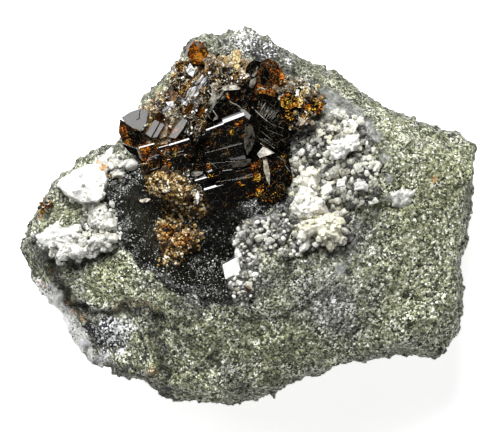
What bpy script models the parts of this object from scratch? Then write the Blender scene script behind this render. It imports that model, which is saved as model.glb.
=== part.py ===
"""A hand specimen: dark brown vesuvianite crystals and white calcite on a block of green-grey diopside rock.

The specimen lies on its flat back. +Z points out of its crystal face, +X to its right and +Y to its top.
The origin is the centre of the footprint of the whole specimen, on the surface it lies on.
"""

import math
import random

import bmesh
import bpy
from mathutils import Matrix, Vector, noise

MM = 0.001  # every length below is in millimetres, times MM

# Driving dimensions
BLOCK_HEIGHT = 31.0 * MM  # of the rock before its top is broken away
WAIST = 13.0 * MM  # the height at which the rock is widest
BACK_SINK = 0.8 * MM  # how much of the rough back is cut off flat
ROCK_VOXEL = 1.5 * MM
WALL_REGAIN = 0.35  # in millimetres, what softening takes off the walls
ROCK_SHARE = 0.24  # of the remeshed rock's faces that are kept
PIECE_GAP = 0.5 * MM  # between a piece and whatever it grew on
GRAIN_VOXEL = 0.55 * MM

# The rock's outline seen from above, anticlockwise from its right-hand corner
OUTLINE = (
    (39.6, 12.9), (39.3, 8.8), (38.8, 3.4), (38.0, -3.8), (36.1, -9.5), (36.4, -15.4),
    (36.6, -20.4), (35.0, -23.8), (31.1, -25.5), (27.5, -24.3), (20.4, -24.5), (14.1, -27.1),
    (7.0, -29.3), (3.4, -31.4), (0.2, -33.2), (-7.3, -33.6), (-12.4, -33.4), (-15.6, -31.9),
    (-17.3, -28.9), (-23.4, -28.4), (-28.4, -26.1), (-31.4, -22.0), (-33.6, -17.6), (-38.4, -12.7),
    (-39.3, -8.6), (-40.0, -4.4), (-39.3, -1.8), (-36.6, 0.4), (-35.6, 5.3), (-30.1, 9.2),
    (-27.1, 11.6), (-22.4, 11.9), (-19.6, 17.6), (-18.8, 21.8), (-14.1, 24.6), (-12.0, 27.6),
    (-10.2, 31.3), (-5.2, 31.3), (-0.4, 33.6), (2.6, 32.6), (4.8, 29.2), (13.3, 25.1),
    (15.3, 24.4), (18.4, 21.0), (27.2, 16.9), (36.7, 13.4),
)

# Broken faces of the rock: a point on each, and the direction that it faces
BROKEN_FACES = {
    "right_flat": ((5, -5, 29.2), (0.11, 0.02, 1)),
    "upper_right": ((18, 15, 27.2), (0.42, 0.75, 1)),
    "upper_right_edge": ((27, 17.5, 18), (0.75, 1.5, 1)),
    "right_edge": ((39.4, 0, 19), (3.2, -0.1, 1)),
    "lower_right_corner": ((34, -22, 20), (1.0, -1.4, 1)),
    "bottom": ((0, -20, 28.2), (0.03, -0.52, 1)),
    "bottom_edge": ((0, -31.5, 19), (0.1, -2.2, 1)),
    "left_arm": ((-22, 0, 27.0), (-0.36, 0.06, 1)),
    "left_edge": ((-38.8, -4, 17), (-2.0, -0.3, 1)),
    "lower_left": ((-20, -15, 25.5), (-0.42, -0.4, 1)),
    "lower_left_edge": ((-31, -21, 16.5), (-1.4, -1.1, 1)),
    "upper_left": ((-14, 16, 25.0), (-0.55, 0.5, 1)),
    "upper_left_edge": ((-17, 23, 17), (-1.3, 1.2, 1)),
    "top": ((0, 26, 25.5), (0.05, 0.75, 1)),
    "top_edge": ((0, 32, 18), (0.2, 1.8, 1)),
    "back_top": ((0, 28, 7), (0.1, 1, -0.75)),
    "back_top_right": ((25, 17.6, 8), (0.5, 0.9, -0.8)),
    "back_right": ((36.8, -5, 6), (1, 0.02, -0.55)),
    "back_lower_right": ((26, -23.2, 6), (0.4, -1, -0.7)),
    "back_bottom": ((-5, -29, 7), (-0.1, -1, -0.9)),
    "back_lower_left": ((-29, -21, 8), (-1, -0.8, -1.0)),
    "back_left": ((-37, 0, 8), (-1, 0.15, -0.8)),
    "back_upper_left": ((-24, 13, 7), (-0.8, 1, -0.8)),
}

# Sunken areas of the rock's face: centre x, y, half-widths, turn in degrees, depth, and the share that is rim
HOLLOWS = {
    "cavity": (-10.5, -4.0, 15.0, 9.5, -32, 7.5, 0.55),
    "cavity_floor": (-8.5, -8.5, 9.0, 5.0, -18, 2.2, 0.6),
    "crystal_seat": (-2.0, 9.0, 13.0, 9.0, 12, 3.5, 0.6),
    "lower_left_shelf": (-27.5, -19.0, 12.0, 6.5, -40, 1.9, 0.55),
    "foot_of_shelf": (-26.0, -25.5, 9.0, 5.0, -14, 1.5, 0.45),
    "left_notch": (-31.5, 1.3, 6.5, 2.6, -12, 2.2, 0.6),
    "right_seat": (12.0, 7.0, 7.5, 10.0, 20, 1.4, 0.6),
}

# Vesuvianite crystals: centre x, y, z, then length, width and depth, then the way that the long axis points
# (degrees round from +X, degrees up), the roll about it, and how far the tip is drawn in, as a share.
PRISMS = {
    "main_crystals": (
        (-18.9, 13.2, 26.8, 10.0, 6.6, 6.4, 17, -4, 24, 0.30),
        (-17.2, 10.0, 26.0, 9.0, 5.2, 5.2, 16, -4, 22, 0.30),
        (-13.4, 12.0, 26.6, 11.0, 6.4, 6.0, 16, -3, 24, 0.25),
        (-11.8, 14.9, 26.4, 8.6, 4.6, 4.4, 17, -3, 26, 0.25),
        (-11.6, 8.6, 25.4, 8.6, 4.0, 4.2, 16, -3, 22, 0.25),
        (-4.8, 14.4, 28.6, 9.6, 6.6, 7.2, 16, 0, 20, 0.18),
        (-6.6, 12.0, 28.4, 9.4, 6.0, 6.6, 17, 0, 24, 0.25),
        (-3.8, 9.2, 28.8, 11.0, 7.0, 7.4, 16, 0, 20, 0.12),
        (-3.0, 5.2, 27.6, 10.8, 5.4, 6.4, 15, 0, 21, 0.15),
        (-8.0, 5.2, 26.4, 7.4, 4.4, 5.0, 15, -2, 24, 0.30),
        (2.4, 8.4, 28.2, 9.6, 6.0, 6.4, 14, 4, 22, 0.25),
        (3.8, 5.6, 27.4, 8.6, 5.4, 5.6, 60, 62, 30, 0.30),
        (-3.2, 18.4, 27.4, 9.0, 6.8, 6.6, 30, 8, 30, 0.30),
        (1.6, 17.6, 28.2, 11.0, 6.6, 7.0, -44, 14, 24, 0.30),
        (4.4, 13.6, 27.2, 9.0, 6.2, 6.4, 30, 10, 30, 0.35),
    ),
    "red_crystal": (
        (2.6, 22.9, 26.8, 8.0, 5.4, 5.2, 78, 56, 22, 0.40),
        (0.4, 22.6, 26.0, 6.4, 3.8, 3.8, 84, 50, 20, 0.35),
    ),
    "amber_crystals": (
        (5.8, 19.8, 27.2, 7.8, 3.8, 3.6, 40, 30, 10, 0.40),
        (8.2, 20.0, 26.8, 7.0, 3.4, 3.6, 62, 46, 25, 0.40),
        (10.2, 18.8, 26.6, 6.6, 3.2, 3.2, 20, 24, 12, 0.40),
        (7.6, 17.0, 27.2, 7.0, 3.6, 3.4, -28, 28, 20, 0.40),
        (9.8, 16.6, 26.8, 6.0, 3.0, 3.0, -10, 42, 30, 0.40),
    ),
    "top_crystal": (
        (-9.2, 28.0, 21.8, 6.8, 3.8, 3.6, 104, 38, 20, 0.55),
        (-8.0, 26.8, 22.0, 5.4, 2.8, 2.8, 80, 30, 30, 0.50),
    ),
    "edge_crystals": (
        (-35.4, 1.1, 19.8, 4.2, 2.0, 2.0, 150, 40, 10, 0.45),
        (-34.9, 2.4, 20.4, 3.6, 1.7, 1.7, 120, 50, 30, 0.45),
        (-36.0, 0.2, 19.2, 3.6, 1.6, 1.6, 175, 30, 40, 0.45),
    ),
}
PRISM_CORNER = 0.22  # the narrow faces on a prism's corners, as a share of its width
PYRAMID_RISE = 0.75  # how steep the faces round a crystal's tip are

# Patches of small grains: centre x, y, half-widths, turn in degrees, how many, least and greatest radius
PATCHES = {
    "small_crystals": {
        "at": (
            (-10.2, 24.0, 5.4, 3.0, 50, 18, 0.9, 1.3),
            (-11.2, 20.0, 4.8, 3.2, 70, 18, 0.9, 1.4),
            (-4.4, 24.3, 4.6, 2.6, -20, 16, 0.8, 1.3),
            (-15.4, 18.4, 3.0, 1.8, 20, 8, 0.7, 1.1),
        ),
        "seed": 3, "facets": True, "keep": 0.17,
    },
    "brown_crust": {
        "at": (
            (-14.8, 5.7, 4.0, 2.4, -25, 16, 0.9, 1.4),
            (-10.4, 2.4, 3.6, 2.4, -30, 14, 0.9, 1.3),
        ),
        "seed": 5, "facets": False, "keep": 0.13,
    },
    "lower_brown_crust": {
        "at": ((-13.2, -4.0, 3.6, 2.4, -20, 14, 0.8, 1.2), (-14.0, -7.2, 3.0, 2.0, 10, 10, 0.7, 1.1)),
        "seed": 7, "facets": False, "keep": 0.18,
    },
    "calcite_crust": {
        "at": (
            (15.2, 10.8, 6.4, 6.2, 10, 46, 1.1, 1.6),
            (18.0, 5.4, 4.4, 4.4, 15, 22, 1.0, 1.5),
            (10.8, 3.4, 3.6, 5.0, 10, 22, 1.1, 1.7),
            (13.4, -2.8, 4.2, 2.6, -25, 16, 1.0, 1.5),
            (5.6, -1.2, 3.4, 2.4, 10, 12, 1.0, 1.4),
            (1.4, -3.6, 4.6, 2.8, 15, 20, 1.1, 1.6),
            (-0.6, -8.2, 2.2, 3.8, 8, 18, 1.2, 1.7),
            (-1.4, -13.2, 2.0, 2.4, 20, 10, 1.0, 1.4),
        ),
        "seed": 11, "facets": False, "keep": 0.14,
    },
    "calcite_globules": {
        "at": (
            (-25.0, 3.4, 1.6, 2.6, 20, 8, 1.0, 1.4),
            (-25.8, -0.6, 1.9, 3.2, 15, 12, 1.0, 1.4),
            (-27.0, -4.4, 3.2, 1.9, 15, 12, 1.0, 1.4),
        ),
        "seed": 13, "facets": False, "keep": 0.15,
    },
    "upper_globules": {
        "at": ((-22.2, 8.4, 2.0, 0.9, 10, 5, 1.3, 1.7),),
        "seed": 17, "facets": False, "keep": 0.2,
    },
}

# Cleaved calcite: centre x, y, height over the rock, then three edge lengths, turn and tip in degrees
CLEAVED = {
    "calcite_block": (
        (-29.4, 5.6, 1.2, 7.6, 6.4, 4.6, 35, 0),
        (-26.8, 7.0, 1.6, 4.6, 6.0, 4.4, 12, 6),
        (-32.0, 4.8, 0.9, 5.4, 4.6, 4.0, 50, -6),
        (-28.2, 9.0, 1.0, 4.2, 3.6, 3.8, 25, 4),
        (-27.6, 3.6, 1.0, 4.6, 3.6, 4.0, 60, 0),
    ),
    "lower_calcite_block": (
        (-32.6, -3.6, 1.0, 6.0, 4.2, 3.8, -12, 0),
        (-35.6, -3.2, 0.8, 5.0, 3.4, 3.4, -22, 5),
        (-30.4, -5.2, 0.9, 4.8, 4.0, 3.6, 10, -4),
        (-33.4, -6.0, 0.7, 4.6, 3.0, 3.2, -28, 0),
        (-36.4, -4.8, 0.5, 3.4, 2.6, 3.0, 5, 0),
    ),
    "calcite_rhomb": ((-3.8, -9.7, 3.2, 2.9, 2.8, 2.8, 28, 12),),
    "grey_calcite_grain": ((27.2, 3.2, 0.2, 3.8, 3.0, 2.4, 22, 0),),
}
CLEAVAGE_SHEAR = 0.26  # how far a calcite rhomb leans

# The pieces on the rock, in the order in which one is cut to fit the next, and what is grown together in each
PIECES = {
    "vesuvianite_crystals": ("main_crystals", "red_crystal", "amber_crystals", "small_crystals"),
    "top_crystal": ("top_crystal",),
    "edge_crystals": ("edge_crystals",),
    "left_calcite": ("calcite_block", "lower_calcite_block", "calcite_globules", "upper_globules"),
    "right_calcite": ("calcite_crust", "calcite_rhomb"),
    "brown_crust": ("brown_crust",),
    "lower_brown_crust": ("lower_brown_crust",),
    "grey_calcite_grain": ("grey_calcite_grain",),
}


def in_mm(values):
    return Vector(values) * MM


def clear_scene():
    for obj in list(bpy.data.objects):
        bpy.data.objects.remove(obj, do_unlink=True)


def new_collection(name):
    collection = bpy.data.collections.new(name)
    bpy.context.scene.collection.children.link(collection)
    return collection


def object_of(name, bm, collection):
    mesh = bpy.data.meshes.new(name)
    bm.to_mesh(mesh)
    bm.free()
    obj = bpy.data.objects.new(name, mesh)
    collection.objects.link(obj)
    return obj


def as_helper(obj):
    obj.hide_render = True
    obj.display_type = "WIRE"
    return obj


def baked(obj):
    """Gives the object the mesh that its modifiers make, and takes the modifiers off."""
    graph = bpy.context.evaluated_depsgraph_get()
    made = bpy.data.meshes.new_from_object(obj.evaluated_get(graph))
    obj.modifiers.clear()
    obj.data = made
    return obj


def remeshed(obj, voxel):
    modifier = obj.modifiers.new("remesh", "REMESH")
    modifier.mode = "VOXEL"
    modifier.voxel_size = voxel
    return baked(obj)


def decimated(obj, share):
    modifier = obj.modifiers.new("fewer_faces", "DECIMATE")
    modifier.ratio = share
    modifier.use_collapse_triangulate = True
    return baked(obj)


def boolean(obj, other, operation):
    modifier = obj.modifiers.new(operation.lower(), "BOOLEAN")
    modifier.operation = operation
    modifier.solver = "EXACT"
    modifier.object = other
    return baked(obj)


def bounds(obj):
    places = [v.co for v in obj.data.vertices]
    low = Vector([min(p[k] for p in places) for k in range(3)])
    return low, Vector([max(p[k] for p in places) for k in range(3)])


def near(one, other):
    low, high = bounds(one)
    other_low, other_high = bounds(other)
    return all(low[k] < other_high[k] + PIECE_GAP and other_low[k] < high[k] + PIECE_GAP for k in range(3))


def keep_largest_body(obj):
    """Drops the crumbs that a cut leaves beside the piece itself."""
    bm = bmesh.new()
    bm.from_mesh(obj.data)
    left = set(bm.verts)
    bodies = []
    while left:
        todo = [left.pop()]
        body = set(todo)
        while todo:
            for edge in todo.pop().link_edges:
                for vert in edge.verts:
                    if vert in left:
                        left.remove(vert)
                        body.add(vert)
                        todo.append(vert)
        bodies.append(body)
    largest = max(bodies, key=len)
    bmesh.ops.delete(bm, geom=[v for v in bm.verts if v not in largest], context="VERTS")
    bmesh.ops.triangulate(bm, faces=bm.faces)
    bm.to_mesh(obj.data)
    bm.free()


def principled(name, colour, roughness, transmission=0.0, ior=1.5):
    material = bpy.data.materials.new(name)
    material.use_nodes = True
    shader = material.node_tree.nodes["Principled BSDF"]
    shader.inputs["Base Color"].default_value = (*colour, 1)
    shader.inputs["Roughness"].default_value = roughness
    shader.inputs["Metallic"].default_value = 0.0
    shader.inputs["Transmission Weight"].default_value = transmission
    shader.inputs["IOR"].default_value = ior
    material.diffuse_color = (*colour, 1)
    return material


def outline_block(collection):
    """The outline as a slab as tall as the rock, before anything is broken off it."""
    curve = bpy.data.curves.new("outline", "CURVE")
    curve.dimensions = "2D"
    curve.fill_mode = "BOTH"
    curve.extrude = BLOCK_HEIGHT / 2 + BACK_SINK
    spline = curve.splines.new("POLY")
    spline.points.add(len(OUTLINE) - 1)
    for point, (x, y) in zip(spline.points, OUTLINE):
        point.co = (x * MM, y * MM, 0, 1)
    spline.use_cyclic_u = True
    guide = bpy.data.objects.new("outline", curve)
    collection.objects.link(guide)
    graph = bpy.context.evaluated_depsgraph_get()
    mesh = bpy.data.meshes.new_from_object(guide.evaluated_get(graph))
    bpy.data.objects.remove(guide)
    block = bpy.data.objects.new("matrix", mesh)
    collection.objects.link(block)
    bm = bmesh.new()
    bm.from_mesh(mesh)
    bmesh.ops.remove_doubles(bm, verts=bm.verts, dist=0.01 * MM)
    bmesh.ops.translate(bm, vec=(0, 0, BLOCK_HEIGHT / 2 - BACK_SINK), verts=bm.verts)
    for point, facing in BROKEN_FACES.values():
        break_off(bm, in_mm(point), Vector(facing))
    bmesh.ops.recalc_face_normals(bm, faces=bm.faces)
    bm.to_mesh(mesh)
    bm.free()
    return block


def break_off(bm, point, facing):
    """Takes off all that lies beyond a plane, and closes the solid with a flat face there."""
    geom = [*bm.verts, *bm.edges, *bm.faces]
    cut = bmesh.ops.bisect_plane(
        bm, geom=geom, plane_co=point, plane_no=facing.normalized(), clear_outer=True, dist=1e-7
    )
    edges = [e for e in cut["geom_cut"] if isinstance(e, bmesh.types.BMEdge)]
    bmesh.ops.holes_fill(bm, edges=edges)


def sunk(x, y):
    """How deep the hollows are at a point of the rock's face."""
    depth = 0.0
    for cx, cy, half_x, half_y, turn, deep, rim in HOLLOWS.values():
        angle = math.radians(turn)
        dx, dy = x / MM - cx, y / MM - cy
        u = (dx * math.cos(angle) + dy * math.sin(angle)) / half_x
        v = (dy * math.cos(angle) - dx * math.sin(angle)) / half_y
        inside = min(max((1 - math.hypot(u, v)) / rim, 0), 1)
        depth += deep * MM * inside * inside * (3 - 2 * inside)
    return depth


def roughened(point, normal):
    """Where a point of the smooth rock goes: walls lean away from the waist, faces sink and roughen."""
    p = point / MM
    slow = Vector((p.x, p.y, p.z)) / 13
    reach = abs(p.z - WAIST / MM) * 0.16
    lean_x, lean_y = noise.noise(slow) * reach, noise.noise(slow + Vector((7.3, 2.9, 5.1))) * reach
    moved = point + Vector((lean_x, lean_y, 0)) * MM
    facing_up = max(normal.z, 0)
    moved.z -= sunk(point.x, point.y) * min(facing_up * 2.2, 1)
    coarse = noise.noise(p / 6.5) * 0.75
    fine = noise.noise(p / 2.6) * 0.45
    flat = 0.35 + 0.65 * abs(normal.z)
    return moved + normal * ((coarse + fine) * flat + WALL_REGAIN * (1 - abs(normal.z))) * MM


def make_matrix(helpers, parts):
    """The block of rock: outline, broken faces, hollows and roughness, cut flat at the back."""
    rock = remeshed(outline_block(helpers), ROCK_VOXEL)
    smooth = rock.modifiers.new("soften", "SMOOTH")
    smooth.factor = 0.5
    smooth.iterations = 2
    baked(rock)
    bm = bmesh.new()
    bm.from_mesh(rock.data)
    bm.normal_update()
    moved = [roughened(v.co, v.normal) for v in bm.verts]
    for vert, place in zip(bm.verts, moved):
        vert.co = place
    bm.to_mesh(rock.data)
    bm.free()
    decimated(rock, ROCK_SHARE)
    bm = bmesh.new()
    bm.from_mesh(rock.data)
    break_off(bm, Vector((0, 0, 0)), Vector((0, 0, -1)))
    bmesh.ops.triangulate(bm, faces=bm.faces)
    bm.to_mesh(rock.data)
    bm.free()
    show_as_part(rock, parts)
    return rock


def rock_cutter(rock, helpers):
    """The rock with its faces pushed out by the gap, for cutting the undersides of what grew on it."""
    copy = bpy.data.objects.new("matrix_cutter", rock.data.copy())
    helpers.objects.link(copy)
    push = copy.modifiers.new("push", "DISPLACE")
    push.strength = PIECE_GAP
    push.mid_level = 0.0
    push.direction = "NORMAL"
    return as_helper(baked(copy))


def prism(spec, grow):
    """One crystal: a square prism with narrow corner faces, and a blunt pyramid at each end."""
    x, y, z, length, width, depth, round_z, up, roll, tip = spec
    bm = bmesh.new()
    inset = tip * min(width, depth) * MM / 2
    rise = inset * PYRAMID_RISE
    size = Vector((width, depth, length)) * MM - Vector((0, 0, 2 * rise)) + Vector((2, 2, 2)) * grow
    bmesh.ops.create_cube(bm, size=1)
    bmesh.ops.scale(bm, vec=size, verts=bm.verts)
    long_edges = [e for e in bm.edges if abs(e.verts[0].co.z - e.verts[1].co.z) > size.z / 2]
    corner = PRISM_CORNER * min(width, depth) * MM
    bmesh.ops.bevel(
        bm, geom=long_edges, offset=corner, segments=1, profile=0.5, affect="EDGES", material=-1
    )
    bm.normal_update()
    for end in [f for f in bm.faces if abs(f.normal.z) > 0.9]:
        bmesh.ops.inset_region(bm, faces=[end], thickness=inset, depth=rise)
    axis = Matrix.Rotation(math.radians(round_z), 4, "Z") @ Matrix.Rotation(math.radians(90 - up), 4, "Y")
    turned = axis @ Matrix.Rotation(math.radians(roll), 4, "Z")
    bmesh.ops.transform(bm, matrix=Matrix.Translation(in_mm((x, y, z))) @ turned, verts=bm.verts)
    return bm


def rhomb(spec, rock, grow):
    """One cleaved piece of calcite: a leaning box set on the rock below it."""
    x, y, over, edge_a, edge_b, edge_c, turn, tip = spec
    bm = bmesh.new()
    bmesh.ops.create_cube(bm, size=1)
    size = in_mm((edge_a, edge_b, edge_c)) + Vector((2, 2, 2)) * grow
    bmesh.ops.scale(bm, vec=size, verts=bm.verts)
    lean = Matrix.Shear("XZ", 4, (CLEAVAGE_SHEAR, CLEAVAGE_SHEAR * 0.5))
    turned = Matrix.Rotation(math.radians(turn), 4, "Z") @ Matrix.Rotation(math.radians(tip), 4, "X")
    place = Vector((x * MM, y * MM, rock_height(rock, x, y) + over * MM))
    bmesh.ops.transform(bm, matrix=Matrix.Translation(place) @ turned @ lean, verts=bm.verts)
    return bm


def rock_height(rock, x, y):
    """The height of the rock's face under a point, in metres."""
    hit, place, _, _ = rock.ray_cast(Vector((x * MM, y * MM, 0.1)), Vector((0, 0, -1)))
    return place.z if hit else WAIST


def grains(patch, rock, grow):
    """Small grains scattered over elliptical patches of the rock, as one bmesh of overlapping lumps."""
    rng = random.Random(patch["seed"])
    bm = bmesh.new()
    for cx, cy, half_x, half_y, turn, count, least, most in patch["at"]:
        angle = math.radians(turn)
        for k in range(count):
            # A sunflower spiral spreads the grains evenly, and the random part unsettles them.
            reach = math.sqrt((k + 0.5) / count)
            way = k * 2.39996 + rng.uniform(-0.4, 0.4)
            u, v = reach * math.cos(way) * half_x, reach * math.sin(way) * half_y
            x = cx + u * math.cos(angle) - v * math.sin(angle)
            y = cy + u * math.sin(angle) + v * math.cos(angle)
            radius = rng.uniform(least, most) * MM
            place = Vector((x * MM, y * MM, rock_height(rock, x, y) + radius * 0.15))
            spin = Matrix.Rotation(rng.uniform(0, 6.28), 4, Vector((rng.gauss(0, 1), rng.gauss(0, 1), 1)))
            if patch["facets"]:
                across, along = radius * 1.5 + 2 * grow, radius * 2.75 + 2 * grow
                box = Matrix.Translation(place) @ spin @ Matrix.Diagonal((across, across, along, 1))
                bmesh.ops.create_cube(bm, size=1, matrix=box)
            else:
                ball = Matrix.Translation(place) @ spin @ Matrix.Diagonal((1, 1, 1.25, 1))
                bmesh.ops.create_icosphere(bm, subdivisions=1, radius=radius + grow, matrix=ball)
            pad = Matrix.Translation(place - Vector((0, 0, 0.7 * MM))) @ Matrix.Diagonal((1, 1, 0.6, 1))
            bmesh.ops.create_icosphere(bm, subdivisions=1, radius=1.5 * MM + grow, matrix=pad)
    return bm


def grown_together(name, groups, rock, helpers, grow):
    """One closed solid from all the crystals and grains of some groups, each larger by grow all round."""
    shapes = []
    for group in groups:
        if group in PRISMS:
            shapes += [object_of(group, prism(spec, grow), helpers) for spec in PRISMS[group]]
        elif group in CLEAVED:
            shapes += [object_of(group, rhomb(spec, rock, grow), helpers) for spec in CLEAVED[group]]
        else:
            lumps = object_of(group, grains(PATCHES[group], rock, grow), helpers)
            shapes.append(decimated(remeshed(lumps, GRAIN_VOXEL), PATCHES[group]["keep"]))
    whole = shapes[0]
    for shape in shapes[1:]:
        boolean(whole, shape, "UNION")
        bpy.data.objects.remove(shape)
    whole.name = name
    return as_helper(whole)


def settle(piece, cutters, parts):
    """Cuts a piece clear of all that it grew on, and makes it a part."""
    for cutter in cutters:
        if near(piece, cutter):
            boolean(piece, cutter, "DIFFERENCE")
    keep_largest_body(piece)
    show_as_part(piece, parts)


def show_as_part(piece, parts):
    for collection in list(piece.users_collection):
        collection.objects.unlink(piece)
    parts.objects.link(piece)
    piece.hide_render = False
    piece.display_type = "TEXTURED"


def finish_of(name):
    finishes = {
        "matrix": ((0.20, 0.21, 0.14), 0.75, 0, 1.5),
        "vesuvianite_crystals": ((0.045, 0.018, 0.006), 0.12, 0.4, 1.71),
        "top_crystal": ((0.30, 0.12, 0.03), 0.2, 0.3, 1.71),
        "edge_crystals": ((0.16, 0.05, 0.02), 0.2, 0.3, 1.71),
        "brown_crust": ((0.34, 0.17, 0.06), 0.5, 0, 1.5),
        "lower_brown_crust": ((0.30, 0.14, 0.04), 0.5, 0, 1.5),
        "left_calcite": ((0.82, 0.81, 0.77), 0.45, 0, 1.5),
        "right_calcite": ((0.62, 0.62, 0.55), 0.45, 0, 1.5),
        "grey_calcite_grain": ((0.42, 0.43, 0.44), 0.3, 0, 1.5),
    }
    return principled(name, *finishes[name])


def main():
    clear_scene()
    parts = new_collection("vesuvianite_specimen")
    helpers = new_collection("helpers")
    rock = make_matrix(helpers, parts)
    cutters = [rock_cutter(rock, helpers)]
    pieces = [rock]
    for name, groups in PIECES.items():
        piece = grown_together(name, groups, rock, helpers, 0)
        settle(piece, cutters, parts)
        cutters.append(grown_together(name + "_cutter", groups, rock, helpers, PIECE_GAP))
        pieces.append(piece)
    low = Vector([min(bounds(piece)[0][k] for piece in pieces) for k in range(3)])
    high = Vector([max(bounds(piece)[1][k] for piece in pieces) for k in range(3)])
    middle = Vector(((low.x + high.x) / 2, (low.y + high.y) / 2, low.z))
    for piece in [*pieces, *cutters]:
        piece.data.transform(Matrix.Translation(-middle))
    for piece in pieces:
        piece.data.materials.clear()
        piece.data.materials.append(finish_of(piece.name))
        piece.data.shade_flat()


main()
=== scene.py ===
import math
import random

import bmesh
import bpy
import numpy as np
from mathutils import Matrix, Vector, noise
from mathutils.bvhtree import BVHTree


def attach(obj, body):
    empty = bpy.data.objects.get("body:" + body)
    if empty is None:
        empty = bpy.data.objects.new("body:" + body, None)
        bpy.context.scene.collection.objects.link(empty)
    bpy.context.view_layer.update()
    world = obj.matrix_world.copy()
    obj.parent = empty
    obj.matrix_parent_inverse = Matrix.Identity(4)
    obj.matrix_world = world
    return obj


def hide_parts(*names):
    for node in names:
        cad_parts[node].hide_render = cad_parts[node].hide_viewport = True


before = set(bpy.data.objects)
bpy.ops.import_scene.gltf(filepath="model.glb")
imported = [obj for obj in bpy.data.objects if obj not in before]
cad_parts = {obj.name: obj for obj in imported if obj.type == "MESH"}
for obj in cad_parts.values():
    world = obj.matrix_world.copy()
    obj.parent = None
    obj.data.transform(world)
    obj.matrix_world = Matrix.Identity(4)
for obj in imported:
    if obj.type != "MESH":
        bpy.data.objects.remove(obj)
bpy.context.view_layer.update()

mm = 0.001
squaresPerMm = 5.6
sheetWide, sheetTall = 503, 432  # the plan sheet, in squares
planMiddle = (0.256 * mm, -0.186 * mm)
eyeHeight = 2.0
planHeight = 15 * mm  # where the plan sheet's scale holds
spotHeight = 27  # mm, the height at which painted spots are set out
greyFacing = Vector((-0.34, 0.16, 0.93)).normalized()  # faces that lie this way catch the side light


def plan(u, v, height):
    # a square of the plan sheet, as the place over it at a height given in mm
    z = height * mm
    scale = mm / squaresPerMm * (eyeHeight - z) / (eyeHeight - planHeight)
    x = planMiddle[0] + (u - sheetWide / 2) * scale
    y = planMiddle[1] - (v - sheetTall / 2) * scale
    return Vector((x, y, z))


def planLine(points, height):
    return np.array([plan(u, v, height)[:2] for u, v in points])


# Mesh helpers


def objectOf(name, bm, smooth=False):
    mesh = bpy.data.meshes.new(name)
    bm.normal_update()
    bm.to_mesh(mesh)
    bm.free()
    for polygon in mesh.polygons:
        polygon.use_smooth = smooth
    obj = bpy.data.objects.new(name, mesh)
    bpy.context.scene.collection.objects.link(obj)
    return obj


def bakedMesh(obj):
    graph = bpy.context.evaluated_depsgraph_get()
    made = bpy.data.meshes.new_from_object(obj.evaluated_get(graph))
    obj.modifiers.clear()
    obj.data = made
    return obj


def remeshed(obj, voxel):
    modifier = obj.modifiers.new("remesh", "REMESH")
    modifier.mode = "VOXEL"
    modifier.voxel_size = voxel
    return bakedMesh(obj)


def softened(obj, steps, factor=0.5):
    modifier = obj.modifiers.new("soften", "SMOOTH")
    modifier.factor = factor
    modifier.iterations = steps
    return bakedMesh(obj)


def smoothShaded(obj, smooth=True):
    for polygon in obj.data.polygons:
        polygon.use_smooth = smooth
    return obj


def nodeCopy(name, label):
    bm = bmesh.new()
    bm.from_mesh(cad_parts[name].data)
    bmesh.ops.remove_doubles(bm, verts=bm.verts, dist=2e-6)
    return objectOf(label, bm)


def coordinates(obj):
    flat = np.empty(len(obj.data.vertices) * 3, np.float32)
    obj.data.vertices.foreach_get("co", flat)
    return flat.reshape(-1, 3).astype(np.float64)


def normalsOf(obj):
    flat = np.empty(len(obj.data.vertices) * 3, np.float32)
    obj.data.vertices.foreach_get("normal", flat)
    return flat.reshape(-1, 3).astype(np.float64)


def setCoordinates(obj, places):
    obj.data.vertices.foreach_set("co", places.astype(np.float32).ravel())
    obj.data.update()


def setAttribute(obj, name, values):
    layer = obj.data.attributes.get(name) or obj.data.attributes.new(name, "FLOAT", "POINT")
    layer.data.foreach_set("value", np.asarray(values, np.float32).ravel())


def setAttributes(obj, **values):
    # each is one value for the whole mesh, or one for each of its points
    for name, value in values.items():
        setAttribute(obj, name, np.broadcast_to(value, len(obj.data.vertices)))


def noiseOver(places, size, offset=0.0):
    move = Vector((offset, offset * 1.7, -offset))
    return np.array([noise.noise(Vector(p) / size + move) for p in places])


def distanceTo(places, line):
    # distance in the plan from each place to a broken line
    best = np.full(len(places), 1e9)
    for a, b in zip(line[:-1], line[1:]):
        run = b - a
        t = np.clip(((places[:, :2] - a) @ run) / max(run @ run, 1e-18), 0, 1)
        best = np.minimum(best, np.hypot(*(places[:, :2] - a - t[:, None] * run).T))
    return best


def insideOf(places, outline):
    x, y = places[:, 0], places[:, 1]
    inside = np.zeros(len(places), bool)
    for (x0, y0), (x1, y1) in zip(outline, np.roll(outline, -1, axis=0)):
        crosses = ((y0 > y) != (y1 > y)) & (x < (x1 - x0) * (y - y0) / (y1 - y0 + 1e-15) + x0)
        inside ^= crosses
    return inside


def depthInside(places, outline):
    # how far inside a closed outline each place is, negative outside
    closed = np.vstack([outline, outline[:1]])
    away = distanceTo(places, closed)
    return np.where(insideOf(places, outline), away, -away)


def smoothStep(values, low, high):
    t = np.clip((values - low) / (high - low), 0, 1)
    return t * t * (3 - 2 * t)


def unitPart(value):
    return min(max(value, 0), 1)


# Node helpers


def addNode(tree, kind, inputs=None, **settings):
    made = tree.nodes.new(kind)
    for key, value in settings.items():
        setattr(made, key, value)
    for key, value in (inputs or {}).items():
        if isinstance(value, bpy.types.NodeSocket):
            tree.links.new(value, made.inputs[key])
        else:
            made.inputs[key].default_value = value
    return made


def newMaterial(name, roughness=0.5, ior=1.5):
    material = bpy.data.materials.new(name)
    material.use_nodes = True
    tree = material.node_tree
    shader = tree.nodes["Principled BSDF"]
    shader.inputs["Roughness"].default_value = roughness
    shader.inputs["IOR"].default_value = ior
    coords = addNode(tree, "ShaderNodeTexCoord").outputs["Object"]
    return material, tree, shader, coords


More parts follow.
